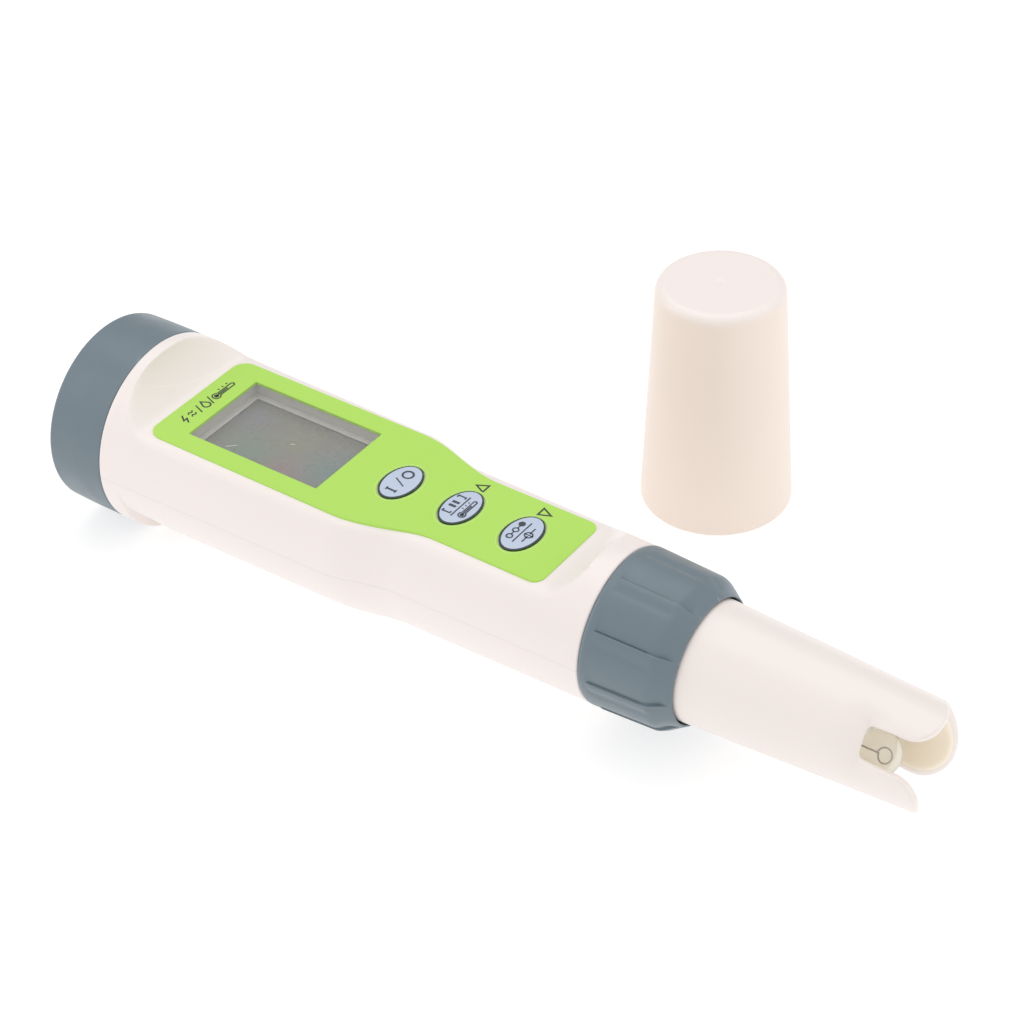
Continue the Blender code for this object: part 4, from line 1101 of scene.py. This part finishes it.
def build_lint():
    """Two fibres and a speck of dust on the display."""
    strokes = []
    for a, b in LINT_ENDS:
        bend = ((a[0] + b[0]) / 2, (a[1] + b[1]) / 2 + 0.08)
        strokes.append(([a, bend, b], 0.1, False))
    levels = (LCD_W[1] - 0.01, LCD_W[1] + 0.04)
    ink("display_lint", strokes, 0.0, levels, "pen", "lint", reading=False)


# ---- collar


def grip_relief(u, radius, angle):
    """Shallow grips: each runs out on one side and ends in a slit with a rounded ridge beyond it."""
    around = np.mod(np.degrees(angle) - GRIP_PHASE, 360 / GRIP_COUNT)
    before = 360 / GRIP_COUNT - around
    outside = radius > COLLAR_MOUTH_RADIUS - 0.05
    slope = np.clip(1 - before / GRIP_RUN, 0.0, 1.0) ** 1.3
    nose = smooth(u, COLLAR_CHAMFER_U - 1.2, COLLAR_CHAMFER_U + 0.8)
    mouth = 1 - smooth(u, COLLAR_CHAMFER_U + 1.2, COLLAR_U[1] - 0.2)
    start = smooth(u, GRIP_START_U - 0.25, GRIP_START_U + 0.1)
    slit = GRIP_SLIT * (before < 0.85) * (u < COLLAR_CHAMFER_U - 1.6)
    depth = start * mouth * (slope * (GRIP_DEPTH + 0.35 * nose) + slit)
    ridge = GRIP_RIDGE * (1 - smooth(around, GRIP_RIDGE_RUN * 0.45, GRIP_RIDGE_RUN * 1.3))
    ridge = ridge * start * (1 - smooth(u, COLLAR_CHAMFER_U - 0.9, COLLAR_CHAMFER_U + 0.3))
    hollow = 0.12 * np.exp(-(((around - 9.5) / 2.6) ** 2)) * start * (1 - nose)
    return u, np.where(outside, radius - depth + ridge - hollow, radius)


def collar_relief(u, radius, angle):
    u, outer = grip_relief(u, radius, angle)
    inside = (np.abs(radius - COLLAR_BORE) < 0.01) & (u < COLLAR_LIP_U - 1)
    cut = THREAD_HEIGHT * 0.4 * thread(u, angle, COLLAR_THREAD_U)
    return u, np.where(inside, radius - cut, outer)


def build_collar():
    path = [
        (COLLAR_U[0], COLLAR_BORE, 0.3),
        (COLLAR_U[0], COLLAR_RADIUS, 0.7),
        (COLLAR_CHAMFER_U, COLLAR_FRONT_RADIUS, COLLAR_SHOULDER),
        (COLLAR_U[1], COLLAR_MOUTH_RADIUS, 0.35),
        (COLLAR_U[1], COLLAR_LIP_BORE, 0.1),
        (COLLAR_LIP_U, COLLAR_LIP_BORE),
        (COLLAR_LIP_U, COLLAR_BORE),
    ]
    turned(
        "collar_grip", path, 720, "collar", "cap_grey", "grey", ["collar_nut"],
        step=0.35, relief=collar_relief, sharp=50.0, steps=4,
    )


# ---- probe


def shroud_outer(u):
    return np.interp(u, (FLANGE_U[1], SHROUD_TIP_U), (SHROUD_ROOT_RADIUS, SHROUD_TIP_RADIUS))


def shroud_bore(u):
    return np.interp(u, (SHROUD_REAR_U, SHROUD_TIP_U), (SHROUD_BORE_REAR, SHROUD_BORE_TIP))


def even(path, count):
    """The path with its points moved to equal distances."""
    path = np.array(path)
    along = np.concatenate([[0], np.cumsum(np.hypot(*np.diff(path, axis=0).T))])
    at = np.linspace(0, along[-1], count)
    return np.stack([np.interp(at, along, path[:, 0]), np.interp(at, along, path[:, 1])], axis=-1)


def rim_contour(third):
    """Half of a third of the rim in (across, u), from a petal's tip to the slot or the scallop."""
    radius = (SHROUD_TIP_RADIUS + SHROUD_BORE_TIP) / 2
    reach = math.radians(60) * radius
    if third == 0:
        across = np.linspace(reach, 0, 61)
        dip = SCALLOP_DEPTH * np.cos(across / reach * math.pi / 2) ** 2
        return even(np.stack([across, SHROUD_TIP_U - dip], -1), HALF_STEPS + 1), radius
    corner = PETAL_CORNER[third]
    path = [(reach, SHROUD_TIP_U)]
    for t in np.radians(np.linspace(0, 90, 13)):
        across = SLOT_HALF + corner * (1 - math.sin(t))
        path.append((across, SHROUD_TIP_U - corner * (1 - math.cos(t))))
    for t in np.radians(np.linspace(0, 90, 7)):
        across = SLOT_HALF - SLOT_CORNER * (1 - math.cos(t))
        path.append((across, SLOT_START_U + SLOT_CORNER * (1 - math.sin(t))))
    path.append((0, SLOT_START_U))
    return even(path, HALF_STEPS + 1), radius


def slot_sink(across, u):
    """How far the outside sinks towards the closed end of a slot."""
    side = np.maximum(np.abs(across) - SLOT_HALF, 0)
    back = np.maximum(SLOT_START_U - u, 0)
    near = np.clip(1 - np.hypot(side, back) / SLOT_SINK_REACH, 0, 1) ** 2
    return SLOT_SINK * near * smooth(SLOT_START_U + SLOT_RUN_OUT - u, 0.0, SLOT_RUN_OUT)


def petal_sector(third):
    """A grid of (angle, u, radius) round a slot or the scallop: outside, rounded rim and inside."""
    half, radius = rim_contour(third)
    run = np.gradient(half, axis=0)
    run /= np.linalg.norm(run, axis=1, keepdims=True)
    # Away from the slot and back from the tip.
    inward = np.stack([-run[:, 1], run[:, 0]], -1)
    inward[[0, -1]] = (0, -1)
    back = np.linspace(SHROUD_TIP_U - 5, PETAL_ROOT_U, SIDE_STEPS + 1)
    over = np.linspace(60, 0, HALF_STEPS - SIDE_STEPS + 1)[1:]
    sides = np.stack([np.full_like(back, 60.0), back], -1)
    far = np.concatenate([sides, np.stack([over, np.full_like(over, PETAL_ROOT_U)], -1)])
    shares = np.linspace(1, 0, 13)[:-1] ** 1.5

    def at(point, depth):
        """The depth is 0 outside and 1 inside."""
        u = point[:, 1]
        outer, inner = shroud_outer(u), shroud_bore(u)
        if third > 0:
            outer = outer - slot_sink(np.radians(point[:, 0]) * radius, u)
        return np.stack([point[:, 0], u, outer + (inner - outer) * depth], -1)

    def inset(distance):
        shifted = half + inward * distance
        return np.stack([np.degrees(shifted[:, 0] / radius), shifted[:, 1]], -1)

    def wall(softness, depth, order):
        """Columns between the far edge and the rim."""
        near = inset(softness)
        near[:, 0] = np.minimum(near[:, 0], 60.0)
        return [at(near + (far - near) * share, depth) for share in order]

    columns = wall(PETAL_SOFTNESS, 0.0, shares)
    for t in np.radians(np.linspace(0, 90, 9)):
        edge = inset(PETAL_SOFTNESS * (1 - math.sin(t)))
        columns.append(at(edge, PETAL_DIP * (1 - math.cos(t)) / PETAL_WALL))
    for t in np.radians(np.linspace(0, 90, 5)):
        edge = inset(PETAL_INNER_SOFTNESS * (1 - math.cos(t)))
        columns.append(at(edge, 1 - PETAL_INNER_SOFTNESS * (1 - math.sin(t)) / PETAL_WALL))
    columns += wall(PETAL_INNER_SOFTNESS, 1.0, shares[::-1])
    one = np.stack(columns)
    one[:, 0, 0] = 60.0
    one[:, -1, 0] = 0.0
    other = one[:, -2::-1].copy()
    other[..., 0] *= -1
    return np.concatenate([one, other], axis=1), len(shares) + 11


def build_shroud():
    points = []
    faces = []
    marks = []
    for third in range(3):
        sector, inner_from = petal_sector(third)
        rows, count = sector.shape[:2]
        turn, along, radius = np.moveaxis(sector, -1, 0)
        shift = SLOT_SHIFT[third] * (1 - (turn / 60) ** 2)
        shift = shift * smooth(along, PETAL_ROOT_U, SLOT_START_U - 4)
        angle = np.radians(turn + shift + SLOT_ANGLE + third * 120)
        slant = RIM_SLANT * (np.cos(angle + math.radians(60 - SLOT_ANGLE)) + 0.5)
        u = along - slant * smooth(along, PETAL_ROOT_U, SHROUD_TIP_U)
        first = len(points)
        points += around(u, radius, angle).reshape(-1, 3).tolist()
        for i in range(rows - 1):
            for k in range(count - 1):
                here = first + i * count + k
                faces.append((here, here + 1, here + count + 1, here + count))
                marks.append(int(i >= inner_from))
    segments = 6 * (HALF_STEPS - SIDE_STEPS)
    flange_rear, flange_front = FLANGE_U
    profile = np.array(divided([
        (PETAL_ROOT_U, shroud_outer(PETAL_ROOT_U)),
        (flange_front + 0.35, shroud_outer(flange_front)),
        (flange_front, SHROUD_ROOT_RADIUS + 0.3),
        (flange_front, FLANGE_RADIUS - 0.2),
        (flange_front - 0.2, FLANGE_RADIUS),
        (flange_rear, FLANGE_RADIUS),
        (flange_rear, SPIGOT_RADIUS),
        (SHROUD_REAR_U, SPIGOT_RADIUS),
        (SHROUD_REAR_U, SHROUD_BORE_REAR),
        (PETAL_ROOT_U, shroud_bore(PETAL_ROOT_U)),
    ], 2.0))
    theta = np.radians(SLOT_ANGLE + np.arange(segments) * 360 / segments)
    tube_faces = grid(len(profile), segments, False, len(points))[:-2]
    points += around(profile[:, :1], profile[:, 1:], theta).reshape(-1, 3).tolist()
    faces += tube_faces
    inner_rows = sum(1 for u, r in profile if r < SHROUD_BORE_REAR + 0.01 and u > SHROUD_REAR_U)
    inner_from = (len(profile) - 1 - inner_rows) * segments
    marks += [int(k >= inner_from) for k in range(len(tube_faces))]
    piece(
        "probe_petals", on_pen(points), faces, "probe", ["probe", "probe_inner"],
        ["probe_shroud"], marks, 45.0,
    )


def off_axis(out, across=0.0):
    """V and W of a point that lies out towards the first slot and across it."""
    t = math.radians(SLOT_ANGLE)
    return {"v": out * math.cos(t) - across * math.sin(t), "w": out * math.sin(t) + across * math.cos(t)}


def build_probe_inside():
    rear, front = CARRIER_U
    path = [(front, 0), (front, shroud_bore(front) - 0.15, 0.5), (rear, 9.0), (rear, 7.4)]
    path += [(front - 9, 6.0), (front - 9, 0)]
    turned(
        "carrier_plug", path, 96, "probe", "probe_white", "carrier", ["electrode_carrier"],
        step=0.8, sharp=30.0,
    )
    # A raised collar of potting resin round the stem.
    inner, outer = STEM_RADIUS + 0.1, STEM_RADIUS + 1.0
    path = [(front - 0.5, inner), (front - 0.5, outer), (front + 0.35, STEM_RADIUS + 0.35, 0.3)]
    path += [(front + 0.5, inner)]
    turned("stem_resin", path, 64, "probe", "probe_white", "carrier", step=0.3, **off_axis(BULB_OFFSET))
    # The bulb is full of liquid, so it bends light as one solid drop.
    last = math.pi - math.asin(STEM_RADIUS / BULB_RADIUS)
    path = []
    for i in range(25):
        t = last * i / 24
        path.append((BULB_U + BULB_RADIUS * math.cos(t), BULB_RADIUS * math.sin(t)))
    path += [(STEM_REAR_U, STEM_RADIUS), (STEM_REAR_U, 0)]
    turned(
        "glass_bulb", path, 72, "probe", "glass", "glass", ["ph_glass"], step=1.5, sharp=60.0,
        **off_axis(BULB_OFFSET),
    )
    build_wire()
    for name, node, radius, out, across, slot in PINS:
        low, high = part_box(node)
        start, end = (low.x - AXIS.x) / MM, (high.x - AXIS.x) / MM
        path = [(start, 0), (start, radius, 0.1), (end, radius, radius * 0.75), (end, 0)]
        turned(name, path, 32, "probe", slot, slot, [node], step=0.8, **off_axis(out, across))


def build_wire():
    """The silver wire in the bulb: it runs in along the stem and turns into a small ring."""
    path = [(u, 0.0, 0.0) for u in np.linspace(84.0, WIRE_LOOP_U - WIRE_LOOP - 0.35, 12)]
    for i in range(33):
        t = math.pi + math.radians(11.5) * i
        path.append((WIRE_LOOP_U + WIRE_LOOP * math.cos(t), WIRE_LOOP * math.sin(t), 0.02 * i))
    cos, sin = math.cos(math.radians(WIRE_TILT)), math.sin(math.radians(WIRE_TILT))
    path = [Vector((u, a * cos - b * sin, a * sin + b * cos)) for u, a, b in path]
    points = []
    side = Vector((0, 0, 1))
    for i, point in enumerate(path):
        ahead = (path[min(i + 1, len(path) - 1)] - path[max(i - 1, 0)]).normalized()
        side = (side - ahead * side.dot(ahead)).normalized()
        over = ahead.cross(side)
        for k in range(12):
            t = 2 * math.pi * k / 12
            points.append(tuple(point + (side * math.cos(t) + over * math.sin(t)) * WIRE_RADIUS))
    points = on_pen(points, **off_axis(BULB_OFFSET))
    faces = grid(len(path), 12, False)
    piece("silver_electrode", points, faces, "probe", ["silver"], ["silver_wire"], sharp=60.0)


# ---- protective cap


def build_cover():
    def relief(height, radius, angle):
        """The gate mark: a shallow dimple with a torn crescent beside the centre of the top."""
        top = height > COVER_HEIGHT - 0.01
        along, across = radius * np.cos(angle), radius * np.sin(angle)
        away = np.hypot(along - 0.15, across)
        dimple = 0.12 * (1 - smooth(away, 0.9, 1.6))
        scar = 0.16 * np.exp(-(((away - 0.85) / 0.22) ** 2)) * (along > -0.2)
        return height + (scar - dimple) * top, radius

    top, mouth = COVER_TOP_RADIUS, COVER_MOUTH_RADIUS
    path = [(COVER_HEIGHT, 0), (COVER_HEIGHT, top, COVER_EDGE)]
    path += [(0, mouth, 0.5), (0, mouth - COVER_WALL + 0.4), (0.5, mouth - COVER_WALL)]
    path += [(COVER_HEIGHT - COVER_WALL, top - COVER_WALL, 1.0), (COVER_HEIGHT - COVER_WALL, 0)]
    turned(
        "cover_shell", path, 160, "protective_cap", "cover_cream", "cover", ["protective_cap"],
        step=0.45, relief=relief, place=on_cover, sharp=45.0, steps=8,
    )


# ---- nodes that keep their shape


KEPT = {
    "steel": (
        "strap_pin", "board_screw_1", "board_screw_2", "dome_switch_1", "dome_switch_2", "dome_switch_3",
    ),
    "rubber": ("battery_seal", "zebra_strip", "probe_seal"),
    "black": ("battery_tray", "board_socket", "collar_washer", "probe_plug"),
    "brass": ("tray_contact", "cap_contact"),
    "board": ("circuit_board",),
}


def dress_kept_nodes():
    for key, names in KEPT.items():
        for name in names:
            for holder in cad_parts[name].material_slots:
                holder.material = MATERIALS[key]


# ---- studio


def build_floor():
    material, tree, shader, place = new_material("floor_paper", {
        "Emission Color": (1.0, 1.0, 1.0, 1.0),
        "Emission Strength": FLOOR_GLOW,
        "Roughness": 0.85,
        "Specular IOR Level": 0.1,
    })
    material.cycles.emission_sampling = "NONE"
    tone = mixed(tree, noise(tree, place, 3.0), (0.44, 0.44, 0.44, 1.0), (0.46, 0.46, 0.46, 1.0))
    tree.links.new(tone, shader.inputs["Base Color"])
    mesh = bpy.data.meshes.new("floor")
    bm = bmesh.new()
    bmesh.ops.create_grid(bm, x_segments=8, y_segments=8, size=3.0)
    bm.to_mesh(mesh)
    bm.free()
    mesh.materials.append(material)
    floor = shown("floor", mesh)
    floor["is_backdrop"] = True


def area_light(name, place, target, size, power):
    light = bpy.data.lights.new(name, "AREA")
    light.shape = "RECTANGLE"
    light.size, light.size_y = size
    light.energy = power
    obj = shown(name, light)
    obj.location = place
    obj.rotation_euler = (target - place).to_track_quat("-Z", "Y").to_euler()


def build_lights():
    world = bpy.data.worlds.new("studio")
    bpy.context.scene.world = world
    world.use_nodes = True
    tree = world.node_tree
    sky = tree.nodes["Background"]
    sky.inputs["Color"].default_value = (1.0, 1.0, 1.0, 1.0)
    way = put(tree, "TexCoord").outputs["Generated"]
    facing = put(tree, "VectorMath", {0: way, 1: DIM_SIDE}, operation="DOT_PRODUCT").outputs["Value"]
    tree.links.new(spread(tree, facing, 0.86, 0.45, 0.45, 0.95), sky.inputs["Strength"])
    middle = (CAD_LOW + CAD_HIGH) / 2
    for name, way, size, power in LIGHT_BOXES:
        area_light(name, middle + Vector(way), middle, size, power)
    view = bpy.context.scene.view_settings
    view.view_transform = "Standard"
    view.look = "None"


def build_camera():
    """A long lens above the probe's side of the pen, rolled slightly."""
    azimuth, elevation, roll = (math.radians(value) for value in CAMERA_ANGLES)
    level = Vector((math.cos(azimuth), math.sin(azimuth), 0))
    out = math.cos(elevation)
    back = Vector((math.sin(azimuth) * out, -math.cos(azimuth) * out, math.sin(elevation)))
    upright = back.cross(level)
    right = level * math.cos(roll) + upright * math.sin(roll)
    up = upright * math.cos(roll) - level * math.sin(roll)
    data = bpy.data.cameras.new("camera")
    data.sensor_width = 36.0
    data.lens = CAMERA_LENS
    data.clip_start = 0.01
    data.clip_end = 20.0
    camera = shown("camera", data)
    turn = Matrix((right, up, back)).transposed()
    camera.matrix_world = Matrix.Translation(CAMERA_PLACE) @ turn.to_4x4()
    bpy.context.scene.camera = camera


build_camera()
build_lights()
build_floor()
build_casing()
build_battery_cap()
build_cells()
build_label()
build_display()
build_keys()
build_print()
build_lint()
build_collar()
build_shroud()
build_probe_inside()
build_cover()
dress_kept_nodes()

low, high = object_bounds()
